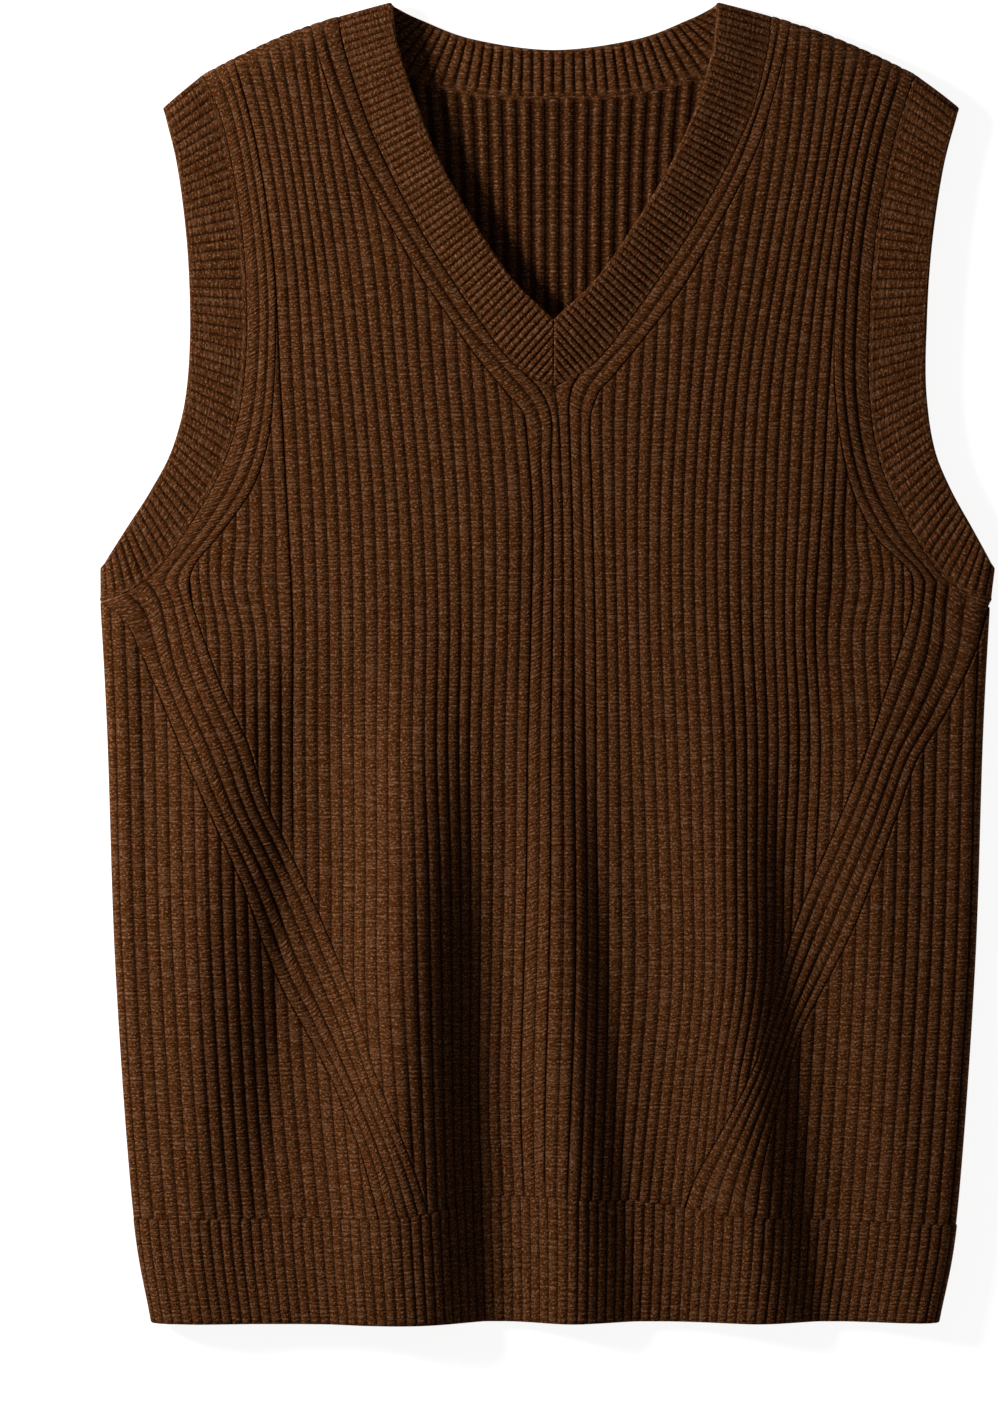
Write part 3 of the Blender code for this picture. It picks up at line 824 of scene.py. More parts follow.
def diagonal_grooves(half):
    """The six grooves of the diagonal band from the underarm to the hem rib, one row of places each."""
    starts = half.starts
    length = starts[-1, 1] - HEM_ZONE_UP
    t = spaced(length, BEND_STEPS, TAPER_STEPS, DIAGONAL_ROWS) / length
    edges = []
    for line, start_up in ((half.outer, starts[0, 1]), (half.inner, starts[-1, 1])):
        bottom = HEM_ZONE_UP
        for _ in range(MEETING_STEPS):
            bottom = half.hem_up(line(bottom))
        up = start_up + (bottom - start_up) * t
        edges.append(np.column_stack([line(up), up]))
    share = np.linspace(0, 1, len(starts))[:, None, None]
    grooves = edges[0] + (edges[1] - edges[0]) * share
    settle = (1 - smooth_step(t, 0, BEND_UNTIL))[None, :, None]
    return grooves + (starts - grooves[:, 0])[:, None, :] * settle


def between_grooves(grooves, columns):
    """Places of rib columns between grooves: linear from each groove to the next."""
    index = np.minimum(columns.astype(int), len(grooves) - 2)
    share = (columns - index)[:, None, None]
    return (grooves[index] * (1 - share) + grooves[index + 1] * share).transpose(1, 0, 2)


def beside_grooves(half):
    """The four grooves of the three ribs that follow the armhole, from the shoulder to the underarm."""
    starts, seam = half.starts, half.seam[::-1]
    if half.layer < 0:
        seam = along(seam, np.linspace(FOLD_REACH, run_of(seam)[-1], SEAM_SAMPLES))
    seam = np.vstack([seam[: nearest(seam, starts[2])], starts[2]])
    up = np.linspace(LENGTH, starts[-1][1], LINE_SAMPLES)
    line = np.column_stack([half.beside(up), up])
    line = np.vstack([line[line[:, 1] <= half.roof_up(line[:, 0])], starts[-1]])
    line[0, 1] = half.roof_up(line[0, 0])
    steps = FOLD_STEPS if half.layer > 0 else TAPER_STEPS
    seam = along(seam, spaced(run_of(seam)[-1], steps, BEND_STEPS, BESIDE_ROWS))
    line = along(line, spaced(run_of(line)[-1], steps, BEND_STEPS, BESIDE_ROWS))
    t = np.linspace(0, 1, BESIDE_ROWS)[:, None]
    grooves = []
    for index, share in enumerate(BESIDE_WIDTHS):
        even = index / (len(BESIDE_WIDTHS) - 1)
        grooves.append(seam + (line - seam) * (share + (even - share) * smooth_step(t, EVEN_FROM, 1)))
    for index in (1, 2):
        bend = smooth_step(t, BEND_FROM, 1)
        grooves[index] = grooves[index] + (starts[2 + index] - grooves[index][-1]) * bend
    return np.array(grooves)


def settled(half, plan, on_seam):
    """A diagonal run with its ends drawn onto the hem line and, if asked, onto the armhole seam."""
    across, up = plan[..., 0], plan[..., 1]
    run = run_of(plan)
    near_end = 1 - smooth_step(run[-1] - run, 0, SETTLE_REACH)
    moved = np.stack([across, up + (half.hem_up(across[-1]) - up[-1]) * near_end], axis=-1)
    if on_seam:
        known = [nearest(half.seam, start) for start in half.starts[:3]]
        wanted = np.interp(rib_columns(2), [0, 1, 2], run_of(half.seam)[known])
        near_start = 1 - smooth_step(run, 0, SETTLE_REACH)
        moved = moved + (along(half.seam, wanted) - plan[0]) * near_start[..., None]
    return moved


def armhole_ribs(half):
    """The three ribs that follow the armhole, bend at the underarm and run down the diagonal."""
    grooves = np.concatenate([beside_grooves(half), diagonal_grooves(half)[2:, 1:]], axis=1)
    columns = rib_columns(3)
    plan = settled(half, between_grooves(grooves, columns), False)
    across, up = plan[..., 0], plan[..., 1]
    turn = half.turn_of(across, up)
    run = run_of(plan)
    fade = tapered(run[-1] - run, AT_HEM_RIB)
    if half.layer > 0:
        turn[0] = 0
    else:
        fade = fade * tapered(run, AT_BAND)
    return across, up, columns, turn, fade, -run


def underarm_ribs(half):
    """The two ribs that start on the armhole seam and run down the diagonal's outer side."""
    columns = rib_columns(2)
    plan = settled(half, between_grooves(diagonal_grooves(half)[:3], columns), True)
    across, up = plan[..., 0], plan[..., 1]
    run = run_of(plan)
    fade = tapered(run, AT_BAND) * tapered(run[-1] - run, AT_HEM_RIB)
    return across, up, columns, half.turn_of(across, up), fade, -run


def side_panel(half):
    """The side's ribs, parallel to the side seam, from the diagonal down to the hem rib. They turn over
    the folded edge: each stays at its own distance from the seam along the cloth's surface."""
    side, layer = half.side, half.layer
    fold = smooth_curve(SIDE_FOLD)
    fold_out = np.interp(LEVELS, fold[:, 1], fold[:, 0])
    inward, lift = folded_section(np.arange(FOLD_REACH + SECTION_STEP, PANEL_WIDTH, SECTION_STEP))
    across = side * (fold_out - inward[:, None])
    height = height_at(across, LEVELS + 0 * across, layer * lift[:, None])
    run = run_of(np.stack([across, height], axis=-1))

    columns = rib_columns(half.panel_ribs)
    line = side * half.outer(LEVELS)
    level = np.argmin(np.abs(LEVELS - PANEL_FROM))
    width = np.interp(fold_out[level] - line[level], inward, run[:, level])
    wanted = columns * width / half.panel_ribs
    distance = np.array([np.interp(wanted, level_run, inward) for level_run in run.T]).T
    lifts = np.array([np.interp(wanted, level_run, lift) for level_run in run.T]).T
    paths = side * (fold_out - distance)
    tops = np.minimum(reached(side * paths - line, PANEL_FROM, 1), UNDERARM_UP - SEAM_GAP)
    bottoms = half.hem_up(on_paths(paths, 0 * tops[None, :] + HEM_ZONE_UP)[0])
    tops = np.maximum(tops, bottoms + SHORTEST)
    up = rows_between(tops, bottoms, TAPER_STEPS[:, None], TAPER_STEPS[:, None], PANEL_ROWS)
    fade = tapered(tops - up, AT_LINE) * tapered(up - bottoms, AT_HEM_RIB)
    return on_paths(paths, up), up, columns, layer * on_paths(lifts, up), fade


def groove_to_hem(half, number, line, top, near_top, rows):
    """A groove's places: its line beside the V, then its upright rib down to the hem rib. Without a top
    it starts on the shoulder. Both ends are found by steps, as the lines it meets are nearly level."""
    groove = joined_lines(half.upright(number), line, *GROOVE_JOINS)
    bottom, shoulder_up = HEM_ZONE_UP, LENGTH
    for _ in range(MEETING_STEPS):
        bottom = half.hem_up(groove(bottom))
        shoulder_up = half.roof_up(groove(shoulder_up))
    top = shoulder_up if top is None else top
    up = top - spaced(top - bottom, near_top, TAPER_STEPS, rows)
    return np.column_stack([groove(up), up])


def v_strips(half):
    """The two ribs that run down beside the V and on down the front beside the centre."""
    side = half.side
    seam, inner = smooth_curve(NECK_SEAM)[::-1] * (side, 1), laid_line(V_INNER[side])
    seam = np.vstack([seam[seam[:, 1] > inner[0, 1] + CLEAR_OF_SEAM], inner])
    lines = (line_of(seam), line_of(laid_line(V_MIDDLE[side])), v_edge(half))
    grooves = [
        groove_to_hem(half, number, line, None, FOLD_STEPS, STRIP_ROWS)
        for number, line in enumerate(lines, start=1)
    ]
    columns = rib_columns(2, 1)
    plan = between_grooves(np.array(grooves), columns - 1)
    across, up = plan[..., 0], plan[..., 1]
    turn = half.turn_of(across, up)
    turn[0] = 0
    return across, up, columns, turn, tapered(up - up[-1], AT_HEM_RIB), -run_of(plan)


def centre_rib(half):
    """The rib beside the centre groove, which starts at the point of the V."""
    inner, centre = laid_line(V_INNER[half.side]), laid_line(V_CENTRE)
    grooves = [
        groove_to_hem(half, number, line_of(line), top, TAPER_STEPS, CENTRE_ROWS)
        for number, line, top in ((0, centre, V_POINT_UP), (1, inner, inner[0, 1]))
    ]
    columns = rib_columns(1)
    plan = between_grooves(np.array(grooves), columns)
    across, up = plan[..., 0], plan[..., 1]
    fade = tapered(up[0] - up, AT_BAND) * tapered(up - up[-1], AT_HEM_RIB)
    return across, up, columns, half.turn_of(across, up), fade


def shoulder_tab(top_across, top_up, columns, side):
    """The front's ribs carried over the folded shoulder, down to the shoulder seam behind."""
    order = np.argsort(np.abs(top_across))
    top_across, top_up, columns = top_across[order], top_up[order], columns[order]
    share = (np.abs(top_across) - np.abs(top_across[0])) / np.ptp(np.abs(top_across))
    inward, lift = folded_section([])
    neck = along(half_curve(BACK_NECK_SEAM) * (side, 1), inward)
    tip = along(smooth_curve(ARMHOLE_SEAM)[::-1] * (side, 1), inward)
    moved = (neck - neck[0])[:, None] * (1 - share)[:, None] + (tip - tip[0])[:, None] * share[:, None]
    across = top_across + moved[..., 0]
    up = top_up + moved[..., 1]
    return across, up, columns, -lift[:, None] + 0 * across, 1.0


def panel_ribs(half):
    """The runs of ribs that the front and the back both have, from the middle to the side."""
    return [run(half) for run in (main_ribs, armhole_ribs, side_wedge, underarm_ribs, side_panel)]


def front_sheets():
    """The front: each side's runs of ribs and its tab, which carries the outer ones over the shoulder."""
    lattice = Lattice(FRONT_GUIDES, GUIDE_LEVELS, 1)
    sheets = []
    for side in SIDES:
        half = Half(side, lattice, HEM_LINE, (BRANCH_RIB, LAST_RIB, SIDE_PANEL_RIBS[side]))
        strips = v_strips(half)
        main, beside, *outer = panel_ribs(half)
        shoulder = main[2] >= SHOULDER_RIB
        joined = [
            (strips[0][0][::-1], strips[1][0][::-1], strips[2][::-1]),
            (main[0][0][shoulder], main[1][0][shoulder], main[2][shoulder]),
            (beside[0][0][::-1], beside[1][0][::-1], beside[2][::-1]),
        ]
        tab = shoulder_tab(*[np.concatenate(values) for values in zip(*joined)], side)
        sheets += [ribbed(*grid) for grid in (strips, main, beside, centre_rib(half), *outer, tab)]
    return sheets


def back_sheets():
    """The back: each side's runs of ribs, with none that follow the V."""
    lattice = Lattice(BACK_GUIDES, BACK_LEVELS, -1)
    ribs = (BACK_BRANCH_RIB, BACK_LAST_RIB, BACK_SIDE_PANEL_RIBS)
    halves = [Half(side, lattice, BACK_HEM_LINE, ribs) for side in SIDES]
    return [ribbed(*grid) for half in halves for grid in panel_ribs(half)]


# --- The hem ribs and the bands.


def hem_sheets(layer, hem_line):
    """The hem rib: finer ribs, spread evenly along the section from one side seam to the other."""
    line = smooth_curve(hem_line)
    fold = smooth_curve(SIDE_FOLD)
    inward, lift = folded_section(np.linspace(FOLD_REACH, HALF_WIDTH, BAND_SAMPLES)[1:])
    sections = []
    for level in HEM_LEVELS:
        out = np.interp(level, fold[:, 1], fold[:, 0]) - inward
        used = out > 0
        across = np.concatenate([-out[used], out[used][::-1]])
        turn = layer * np.concatenate([lift[used], lift[used][::-1]])
        top = np.interp(x_of(across, level), line[:, 0], line[:, 1])
        up = level + (top - HEM_LEVELS[-1]) * level / HEM_LEVELS[-1]
        sections.append((place(across, up, turn), turn))
    middle = sections[len(sections) // 2][0]
    count = int(round(run_of(middle)[-1] / HEM_RIB))
    columns = rib_columns(count)
    rows, turns = [], []
    for places, turn in sections:
        run = run_of(places)
        wanted = columns / count * run[-1]
        rows.append(along(places, wanted))
        turns.append(np.interp(wanted, run, turn))
    levels = HEM_LEVELS[:, None]
    crest = ridge(columns, BODY_ROUND) * tapered(levels[-1] - levels, AT_HEM_RIB)
    thickness = np.interp(levels, FREE_EDGE_STEPS, FREE_EDGE_THICKNESS)
    return [make_sheet(np.array(rows), np.array(turns), crest, columns, levels / STITCH, thickness)]


def band_sheet(rows, pitch, link_crest):
    """A band from its dense rows of places. Ribs cross it, as far apart along its middle as pitch says,
    which can differ from row to row. Each column lies between two rows, at its share of the ribs."""
    places, turn = rows
    middle = places[:, places.shape[1] // 2]
    spans = np.diff(run_of(middle)) / np.broadcast_to(pitch, len(middle))[1:]
    ribs = np.concatenate([[0], np.cumsum(spans)])
    count = int(round(ribs[-1]))
    columns = rib_columns(count)
    position = np.interp(columns / count * ribs[-1], ribs, np.arange(len(ribs)))
    index = np.minimum(position.astype(int), len(ribs) - 2)
    part = position - index

    def pick(values):
        """Each column's values, between those of its two rows."""
        weight = part.reshape(-1, *([1] * (values.ndim - 1)))
        return values[index] * (1 - weight) + values[index + 1] * weight

    places, turn = pick(places), pick(turn)
    from_seam = run_of(places.swapaxes(0, 1)).T
    to_edge = from_seam[:, -1:] - from_seam
    thickness = np.interp(to_edge, FREE_EDGE_STEPS, FREE_EDGE_THICKNESS)
    crest = ridge(columns, BAND_ROUND)[:, None] * tapered(from_seam, AT_BAND)
    crest = shallower(crest, to_edge, EDGE_GROOVE, EDGE_REACH)
    link = link_crest * np.exp(-(((from_seam - LINK_AT) / LINK_HALF_WIDTH) ** 2))
    crest = np.maximum(crest, link)
    return make_sheet(places, turn, crest, columns[:, None], from_seam / STITCH, thickness)


def across_band(outer, inner):
    """A band's places on the upright vest: rows straight across, from its seam to its free edge."""
    return outer[:, None] + (inner - outer)[:, None] * BAND_SHARES[:, None]


def raised_rows(side, plan, turn, share, rise):
    """A band's rows of places, and their turn. It rises towards its free edge."""
    raised = rise * smooth_step(share, 0, 1)
    return place(side * plan[..., 0], plan[..., 1], turn, raised), turn


def neckband_front():
    """The neckband's places from the mitre to the folded shoulder, and the share of its width at each.
    Its ribs stand square to the seam, so the lowest ones end on the mitre and not on the free edge."""
    seam, edge = smooth_curve(NECK_SEAM), smooth_curve(NECK_EDGE)
    length, edge_length = run_of(seam)[-1], run_of(edge)[-1]
    lowest = np.linspace(0, MITRE_RUN, MITRE_SAMPLES, endpoint=False)
    upper = np.linspace(MITRE_RUN, length - FOLD_REACH, NECK_SAMPLES, endpoint=False)
    along_seam = np.concatenate([lowest, upper, length - FOLD_INWARD[::-1]])
    to_end = length - along_seam
    along_edge = (along_seam - MITRE_RUN) / (length - MITRE_RUN) * edge_length
    along_edge = np.where(to_end <= FOLD_REACH, edge_length - to_end, along_edge)
    reach = np.clip(along_seam / MITRE_RUN, TOUCHING, 1)[:, None]
    mitre = seam[0] + (edge[0] - seam[0]) * reach
    inner = np.where(along_seam[:, None] < MITRE_RUN, mitre, along(edge, along_edge))
    return across_band(along(seam, along_seam), inner), BAND_SHARES * reach


def neckband_back():
    """The neckband's places from the folded shoulder to the middle of the back. Its ribs slant less and
    less towards the middle, where they stand upright."""
    seam, edge = half_curve(BACK_NECK_SEAM), half_curve(BACK_NECK_EDGE)
    beyond = np.linspace(FOLD_REACH, run_of(seam)[-1], BACK_NECK_SAMPLES)[1:]
    outer = along(seam, np.concatenate([FOLD_INWARD, beyond]))
    turned = along(edge, FOLD_INWARD)
    behind = outer[len(turned) :, 0]
    slant = (outer[len(turned) - 1, 0] - turned[-1, 0]) * (behind / behind[0]) ** 2
    upright = np.column_stack([behind - slant, at_height(edge, behind - slant)])
    return across_band(outer, np.vstack([turned, upright]))


def neckband_half(side):
    """Half of the neckband, from the mitre up over the shoulder to the middle of the back."""
    (front, share), back = neckband_front(), neckband_back()
    front_turn, back_turn = lift_at(front[..., 0], front[..., 1]), -lift_at(back[..., 0], back[..., 1])
    plan = np.concatenate([front, front[-1:], back])
    turn = np.concatenate([front_turn, 0 * front_turn[-1:], back_turn])
    share = np.concatenate([share, share[-1:], BAND_SHARES + 0 * back_turn])
    return raised_rows(side, plan, turn, share, NECKBAND_RISE)


def neckband_sheets():
    """The neckband's two halves, with wider ribs behind than in front."""
    sheets = []
    for side in SIDES:
        rows = neckband_half(side)
        behind = smooth_step(-rows[1].mean(axis=1), -1, 1)
        pitch = NECK_RIB + (BACK_NECK_RIB - NECK_RIB) * behind
        sheets.append(band_sheet(rows, pitch, NECK_LINK))
    return sheets


def armhole_band_sheets(side):
    """The loop of an armhole band: its front layer from the underarm to the shoulder, then its back."""
    edges = []
    for curve in (smooth_curve(ARMHOLE_SEAM), smooth_curve(ARMHOLE_EDGE)):
        length = run_of(curve)[-1]
        even = np.linspace(FOLD_REACH, length - FOLD_REACH, BAND_SAMPLES)[1:-1]
        edges.append(along(curve, np.concatenate([FOLD_INWARD, even, length - FOLD_INWARD[::-1]])))
    plan = across_band(*edges)
    lift = lift_at(plan[..., 0], plan[..., 1])
    level = 0 * lift[:1]
    plan = np.concatenate([plan[:1], plan, plan[-1:], plan[::-1], plan[:1]])
    turn = np.concatenate([level, lift, level, -lift[::-1], level])
    rows = raised_rows(side, plan, turn, BAND_SHARES + 0 * turn, ARMHOLE_BAND_RISE)
    return [band_sheet(rows, ARMHOLE_RIB, ARMHOLE_LINK)]


# --- From sheets to closed shells.


def grid_faces(rows, columns):
    """The corner numbers of each cell of a grid."""
    index = np.arange(rows * columns).reshape(rows, columns)
    corners = [index[:-1, :-1], index[:-1, 1:], index[1:, 1:], index[1:, :-1]]
    return np.stack([corner.ravel() for corner in corners], axis=1)


def cell_normals(places, faces):
    """The normal of each four-cornered cell, as long as twice its area."""
    a, b, c, d = (places[faces[:, corner]] for corner in range(4))
    return np.cross(c - a, d - b)


def facing_out(sheet, faces):
    """The cells wound so that the front layer faces up and the back layer faces down."""
    places = sheet.places.reshape(-1, 3)
    upward = cell_normals(places, faces)[:, 2] * sheet.turn.ravel()[faces].mean(axis=1)
    return faces if upward.sum() > 0 else faces[:, ::-1]


def joined_sheets(sheets):
    """All sheets as one set of places and cells, with the places that coincide made one. A cell that has
    lost a corner by that goes."""
    faces, start = [], 0
    for sheet in sheets:
        cells = facing_out(sheet, grid_faces(*sheet.places.shape[:2]))
        faces.append(cells + start)
        start += sheet.turn.size
    faces = np.vstack(faces)
    places = np.vstack([sheet.places.reshape(-1, 3) for sheet in sheets])
    used = Sheet._fields[2:]
    values = [np.concatenate([getattr(sheet, name).ravel() for sheet in sheets]) for name in used]
    rounded = np.round(places, MERGED_DIGITS)
    _, first, number = np.unique(rounded, axis=0, return_index=True, return_inverse=True)
    faces = number.ravel()[faces]
    whole = (np.diff(np.sort(faces, axis=1), axis=1) > 0).all(axis=1)
    return places[first], faces[whole], [value[first] for value in values]


def rim_of(faces, count):
    """The cells that close a shell: one on each edge that only one cell has."""
    edges = np.vstack([faces[:, [corner, (corner + 1) % 4]] for corner in range(4)])
    key = np.sort(edges, axis=1)
    _, number, uses = np.unique(key, axis=0, return_inverse=True, return_counts=True)
    edges = edges[uses[number.ravel()] == 1]
    return np.column_stack([edges[:, 1], edges[:, 0], edges[:, 0] + count, edges[:, 1] + count])


def in_scene(name, data):
    """A new object with this data, in the scene."""
    added = bpy.data.objects.new(name, data)
    bpy.context.scene.collection.objects.link(added)
    return added


def make_piece(name, sheets, depth, material, cords=False):
    """A closed shell from sheets. Each place moves out and in along the cloth's normal. A fine rib is
    alike on both faces; a wide one has a rounded cord inside, behind each groove of its outer face."""
    places, faces, (crest, thickness, rib, row) = joined_sheets(sheets)
    count = len(places)
    normals = np.zeros((count, 3))
    flat = cell_normals(places, faces)
    for corner in range(4):
        np.add.at(normals, faces[:, corner], flat)
    normals /= np.maximum(np.linalg.norm(normals, axis=1), TINY)[:, None]
    wall = HALF_WALL * thickness
    outer = places + normals * (wall * (1 - depth * (1 - crest)))[:, None]
    inner_crest = 1 - crest**CORD_ROUND if cords else crest
    inner_depth = CORD_DEPTH if cords else depth
    inner = places - normals * (wall * (1 - inner_depth * (1 - inner_crest)))[:, None]
    cells = np.vstack([faces, faces[:, ::-1] + count, rim_of(faces, count)])

    mesh = bpy.data.meshes.new(name)
    vertices = np.vstack([outer, inner]) * MM
    mesh.vertices.add(len(vertices))
    mesh.vertices.foreach_set("co", vertices.ravel())
    mesh.loops.add(cells.size)
    mesh.loops.foreach_set("vertex_index", cells.ravel())
    mesh.polygons.add(len(cells))
    mesh.polygons.foreach_set("loop_start", np.arange(len(cells)) * 4)
    mesh.update(calc_edges=True)
    mesh.polygons.foreach_set("use_smooth", np.ones(len(cells), bool))
    layer = mesh.uv_layers.new(name="knit")
    knit = np.column_stack([np.tile(rib, 2), np.tile(row, 2)])[cells.ravel()]
    layer.data.foreach_set("uv", knit.ravel())
    # The crest of each place, by which the wool paints shade into the grooves; inside a wide rib it is low
    # in the gaps between the cords, which get painted shade too.
    shade = mesh.attributes.new("crest", "FLOAT", "POINT")
    shade.data.foreach_set("value", np.concatenate([crest, inner_crest]).astype(np.float32))
    mesh.materials.append(material)
    mesh.validate()
    return in_scene(name, mesh)


# --- Wool.


class Nodes:
    """Shorthand for building one material's node tree."""

    def __init__(self, name):
        self.material = bpy.data.materials.new(name)
        self.material.use_nodes = True
        self.tree = self.material.node_tree
        self.shader = self.tree.nodes["Principled BSDF"]

    def add(self, kind, inputs=None, **settings):
        """A node with these settings. An input is a value, or a socket that is linked to it."""
        node = self.tree.nodes.new(kind)
        for key, value in settings.items():
            setattr(node, key, value)
        for key, value in (inputs or {}).items():
            if isinstance(value, bpy.types.NodeSocket):
                self.tree.links.new(value, node.inputs[key])
            else:
                node.inputs[key].default_value = value
        return node

    def math(self, operation, *values):
        """The result of one operation on these values."""
        return self.add("ShaderNodeMath", dict(enumerate(values)), operation=operation).outputs[0]

    def mix(self, share, first, second):
        """The first colour less its share, plus that share of the second."""
        inputs = dict(zip(MIX_INPUTS, (share, first, second)))
        return self.add("ShaderNodeMix", inputs, data_type="RGBA").outputs[MIX_RESULT]

    def part_shown(self, noise, none, full):
        """0 where the noise is under none and 1 where it is over full, even between them."""
        node = self.add("ShaderNodeValToRGB", {"Fac": noise})
        for element, position in zip(node.color_ramp.elements, (none, full)):
            element.position = position
        return node.outputs["Color"]

    def finish(self, look):
        """The shader's plain values, by the names of its inputs."""
        for name, value in look.items():
            self.shader.inputs[name].default_value = value


# The sockets of a node that mixes colours, by number: their names stand there once for each kind of value.
MIX_INPUTS = (0, 6, 7)
MIX_RESULT = 2
# A wool: its rib pitch, yarn colours, stitch shape and bump, and how strongly shade is painted between its
# stitches and into its grooves.
Wool = namedtuple("Wool", "pitch dark middle light red olive chevron stitch_height valley groove_shade")
BODY_WOOL = Wool(
    pitch=6.2,
    dark=(0.024, 0.0046, 0.0003, 1),
    middle=(0.082, 0.0238, 0.0042, 1),
    light=(0.256, 0.124, 0.064, 1),
    red=(0.100, 0.0260, 0.0060, 1),
    olive=(0.078, 0.0335, 0.0060, 1),
    chevron=0.5,
    stitch_height=0.32,
    valley=0.3,
    groove_shade=0.95,
)
BAND_WOOL = BODY_WOOL._replace(pitch=4.0, stitch_height=0.12, valley=0.1)
WHITE = (1, 1, 1, 1)
# A near-black brown that the wool mixes into its grooves and between its stitches as painted shade.
PAINTED_SHADE_COLOUR = (0.009, 0.0016, 0.0002, 1)
WOOL_LOOK = {"Roughness": 0.92, "Specular IOR Level": 0.02}
# Patches of the yarn: how long and high they are in millimetres, how detailed, between which values of
# the noise they go from none to full, and how much of their colour they bring.
Patches = namedtuple("Patches", "length height detail none full amount")
SPECKS = Patches(1.7, 1.25, 2.0, 0.38, 0.62, 1.0)
STREAKS = Patches(12.0, 1.3, 2.0, 0.50, 0.68, 0.38)
WARM = Patches(4.0, 2.6, 2.0, 0.42, 0.60, 0.5)
HAIRS = Patches(1.2, 1.1, 1.0, 0.54, 0.68, 0.85)
FUZZ = Patches(0.5, 0.4, 2.0, 0, 1, 0.35)
COOL_AMOUNT = 0.3
YARN_ROUGHNESS = 0.6
# How much a knitted row wavers, in rows, and how finely.
WAVER = 1.2
WAVER_SCALE = 0.8
# Powers that shape the painted shade of a groove, the painted shade between two stitches, and a stitch's
# back.
GROOVE_POWER = 1.6
VALLEY_POWER = 2.0
STITCH_POWER = 0.6


def make_wool(name, wool):
    """Heathered wool. Its yarn's colour wanders along each knitted row, in fine streaks a few ribs long,
    with short specks of lighter and redder hair. The stitches are small V shapes: their height is a
    rounded wave of the row number less how far a place lies from the rib's middle."""
    nodes = Nodes(name)
    knit = nodes.add("ShaderNodeUVMap", uv_map="knit").outputs["UV"]
    parts = nodes.add("ShaderNodeSeparateXYZ", {0: knit}).outputs
    rib, row = parts["X"], parts["Y"]
    off_middle = nodes.math("ABSOLUTE", nodes.math("SUBTRACT", nodes.math("FRACT", rib), 0.5))
    waver = nodes.add("ShaderNodeTexNoise", {"Vector": knit, "Scale": WAVER_SCALE, "Detail": 1.0})
    wavering = nodes.math("ADD", row, nodes.math("MULTIPLY", waver.outputs["Fac"], WAVER))
    tilted = nodes.math("SUBTRACT", wavering, nodes.math("MULTIPLY", off_middle, wool.chevron))
    wave = nodes.math("SINE", nodes.math("MULTIPLY", nodes.math("FRACT", tilted), np.pi))

    def yarn_noise(kind):
        """Noise stretched along the rows, so that its patches are as long and high as their kind says."""
        across = nodes.math("MULTIPLY", rib, wool.pitch / kind.length)
        upward = nodes.math("MULTIPLY", row, STITCH / kind.height)
        vector = nodes.add("ShaderNodeCombineXYZ", {"X": across, "Y": upward}).outputs[0]
        settings = {"Vector": vector, "Scale": 1.0, "Detail": kind.detail, "Roughness": YARN_ROUGHNESS}
        return nodes.add("ShaderNodeTexNoise", settings).outputs["Fac"]

    def patches(kind):
        """How far a kind of patch shows at each place, from 0 to 1."""
        return nodes.part_shown(yarn_noise(kind), kind.none, kind.full)

    warmth = patches(WARM)
    coolness = nodes.math("SUBTRACT", 1.0, warmth)
    colour = nodes.mix(patches(SPECKS), wool.dark, wool.middle)
    colour = nodes.mix(nodes.math("MULTIPLY", warmth, WARM.amount), colour, wool.red)
    colour = nodes.mix(nodes.math("MULTIPLY", coolness, COOL_AMOUNT), colour, wool.olive)
    for kind in (STREAKS, HAIRS):
        colour = nodes.mix(nodes.math("MULTIPLY", patches(kind), kind.amount), colour, wool.light)

    # Painted shade: each groove, by the crest of its places, and each gap between stitches, by the stitch
    # wave, is mixed towards the painted shade colour.
    crest = nodes.add("ShaderNodeAttribute", attribute_name="crest").outputs["Fac"]
    groove_shade_mask = nodes.math("POWER", nodes.math("SUBTRACT", 1.0, crest), GROOVE_POWER)
    between = nodes.math("POWER", nodes.math("SUBTRACT", 1.0, wave), VALLEY_POWER)
    shade = nodes.math("MULTIPLY", groove_shade_mask, wool.groove_shade)
    shade = nodes.math("MAXIMUM", shade, nodes.math("MULTIPLY", between, wool.valley))
    colour = nodes.mix(shade, colour, PAINTED_SHADE_COLOUR)
    nodes.tree.links.new(colour, nodes.shader.inputs["Base Color"])

    fuzz = nodes.math("MULTIPLY", yarn_noise(FUZZ), FUZZ.amount)
    height = nodes.math("ADD", nodes.math("POWER", wave, STITCH_POWER), fuzz)
    size = wool.stitch_height * MM
    relief = nodes.add("ShaderNodeBump", {"Height": height, "Distance": size, "Strength": 1.0})
    nodes.tree.links.new(relief.outputs["Normal"], nodes.shader.inputs["Normal"])
    nodes.finish(WOOL_LOOK)
    return nodes.material


# --- The pieces.

body_knit = make_wool("heather_wool_wide_rib", BODY_WOOL)
band_knit = make_wool("heather_wool_fine_rib", BAND_WOOL)

front = make_piece("front_knit", front_sheets(), BODY_DEPTH, body_knit, True)
back = make_piece("back_knit", back_sheets(), BODY_DEPTH, body_knit, True)
hem_front = make_piece("hem_rib_front_knit", hem_sheets(1, HEM_LINE), HEM_DEPTH, body_knit)
hem_back = make_piece("hem_rib_back_knit", hem_sheets(-1, BACK_HEM_LINE), HEM_DEPTH, body_knit)
neckband = make_piece("neckband_knit", neckband_sheets(), NECK_DEPTH, band_knit)
armhole_right = make_piece("armhole_band_right_knit", armhole_band_sheets(-1), ARMHOLE_DEPTH, band_knit)
armhole_left = make_piece("armhole_band_left_knit", armhole_band_sheets(1), ARMHOLE_DEPTH, band_knit)

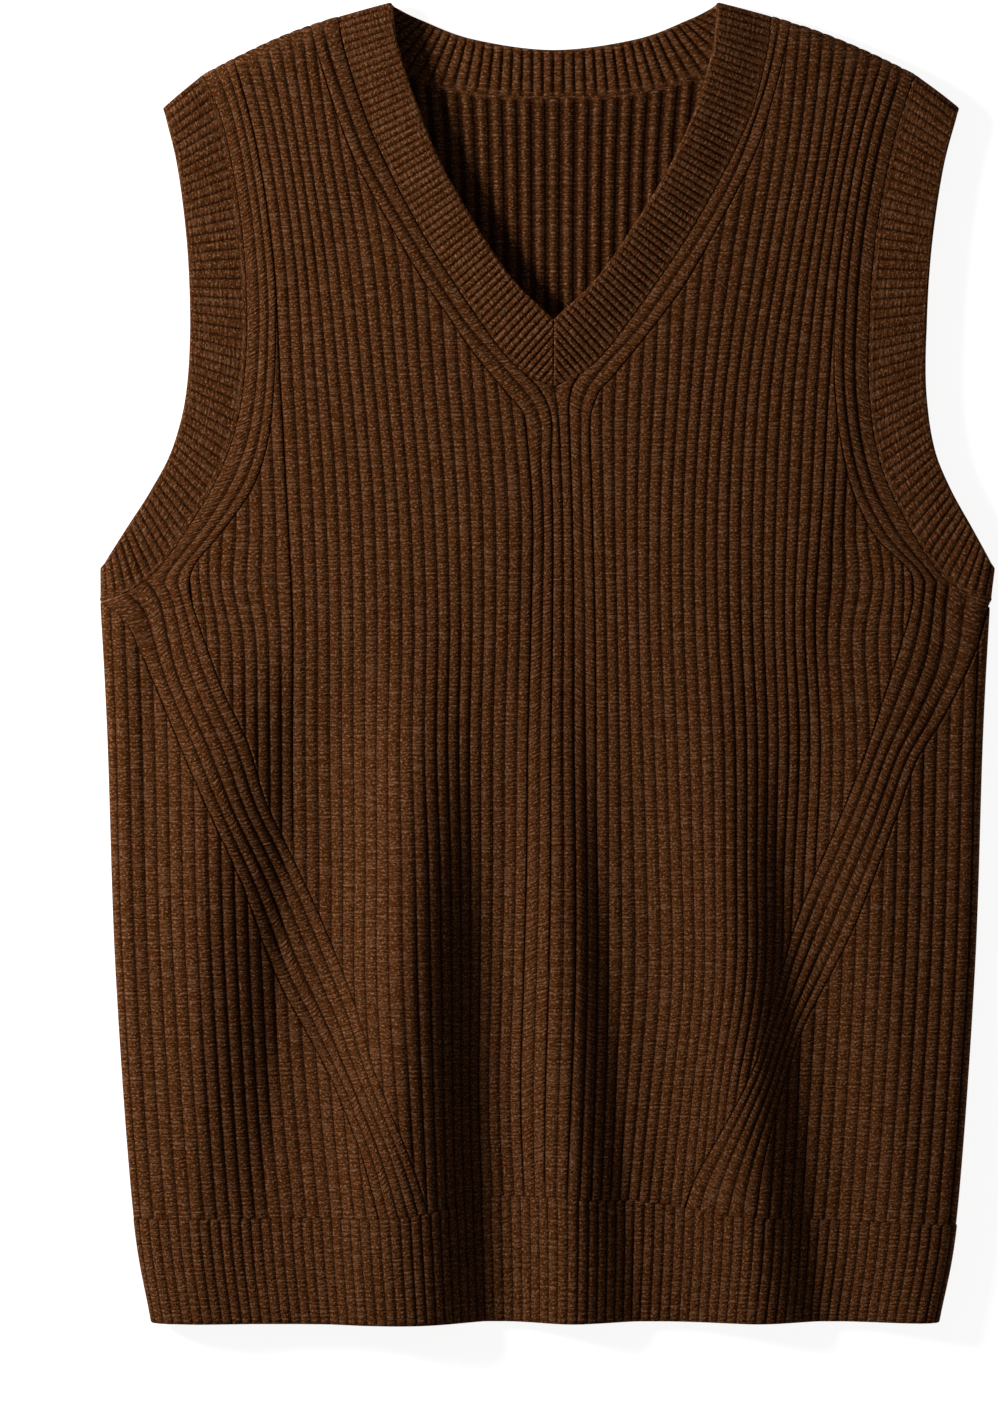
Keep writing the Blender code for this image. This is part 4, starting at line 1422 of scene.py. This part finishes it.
Made = namedtuple("Made", "piece node slot flat area rests_on")
MADE = (
    Made(back, "back_body", "body_knit", (0.457, 0.612), 0.235, []),
    Made(hem_back, "hem_rib_back", "body_knit", (0.427, 0.055), None, []),
    Made(front, "front_body", "body_knit", (0.464, 0.630), 0.223, [back]),
    Made(hem_front, "hem_rib_front", "body_knit", (0.443, 0.065), 0.025, [hem_back]),
    Made(neckband, "neckband", "band_knit", (0.660, 0.027), 0.0172, [back]),
    Made(armhole_right, "armhole_band_right", "band_knit", (0.557, 0.029), 0.0153, [back]),
    Made(armhole_left, "armhole_band_left", "band_knit", (0.549, 0.029), 0.0153, [back]),
)
for made in MADE:
    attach(made.piece, "root")
    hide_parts(made.node)

# --- The studio.

FRAME_CENTRE = (-0.0251, -0.0261)
FRAME_HEIGHT = 0.7363
CAMERA_HEIGHT = 2.5
SENSOR = 36.0
FILL_STRENGTH = 0.11
BACKDROP_STRENGTH = 0.9
FLOOR_REACH = 25.0
FLOOR_UP = -0.0003
FLOOR_CORNERS = ((-1, -1), (1, -1), (1, 1), (-1, 1))
FLOOR_LOOK = {
    "Base Color": (0.4, 0.4, 0.4, 1), "Roughness": 0.8, "Specular IOR Level": 0.1,
    "Emission Color": WHITE, "Emission Strength": BACKDROP_STRENGTH,
}
KEY_AT = (-1.2, 0.37, 0.68)
KEY_SIZE = 0.33
KEY_POWER = 26.8
KEY_COLOUR = (1, 0.97, 0.93)


def add_floor():
    """A pale square, level and far wider than the view."""
    nodes = Nodes("pale_floor")
    nodes.finish(FLOOR_LOOK)
    mesh = bpy.data.meshes.new("floor")
    corners = [(x * FLOOR_REACH, y * FLOOR_REACH, FLOOR_UP) for x, y in FLOOR_CORNERS]
    mesh.from_pydata(corners, [], [range(len(corners))])
    mesh.materials.append(nodes.material)
    in_scene("floor", mesh)


def add_camera():
    """A camera straight above. Its lens takes in the frame's height from where it stands."""
    data = bpy.data.cameras.new("camera")
    data.sensor_width = SENSOR
    data.lens = SENSOR * CAMERA_HEIGHT / FRAME_HEIGHT
    camera = in_scene("camera", data)
    camera.location = (*FRAME_CENTRE, CAMERA_HEIGHT)
    bpy.context.scene.camera = camera


def add_key_light():
    """A square soft light that faces the vest's middle: tipped up from straight down by its angle off
    the vertical, and turned to its own side."""
    data = bpy.data.lights.new("key", "AREA")
    data.size = KEY_SIZE
    data.energy = KEY_POWER
    data.color = KEY_COLOUR
    lamp = in_scene("key", data)
    lamp.location = KEY_AT
    x, y, z = KEY_AT
    lamp.rotation_euler = (np.arctan2(np.hypot(x, y), z), 0, np.arctan2(x, -y))


def light_studio():
    """Dim fill light from all round, behind a backdrop that looks as pale as the floor, and the key."""
    world = bpy.data.worlds.new("studio")
    world.use_nodes = True
    tree = world.node_tree
    background = tree.nodes["Background"]
    background.inputs["Color"].default_value = WHITE
    seen = tree.nodes.new("ShaderNodeLightPath")
    strength = tree.nodes.new("ShaderNodeMapRange")
    strength.inputs["To Min"].default_value = FILL_STRENGTH
    strength.inputs["To Max"].default_value = BACKDROP_STRENGTH
    tree.links.new(seen.outputs["Is Camera Ray"], strength.inputs["Value"])
    tree.links.new(strength.outputs["Result"], background.inputs["Strength"])
    bpy.context.scene.world = world
    bpy.context.scene.view_settings.view_transform = "Standard"
    add_key_light()


add_floor()
add_camera()
light_studio()
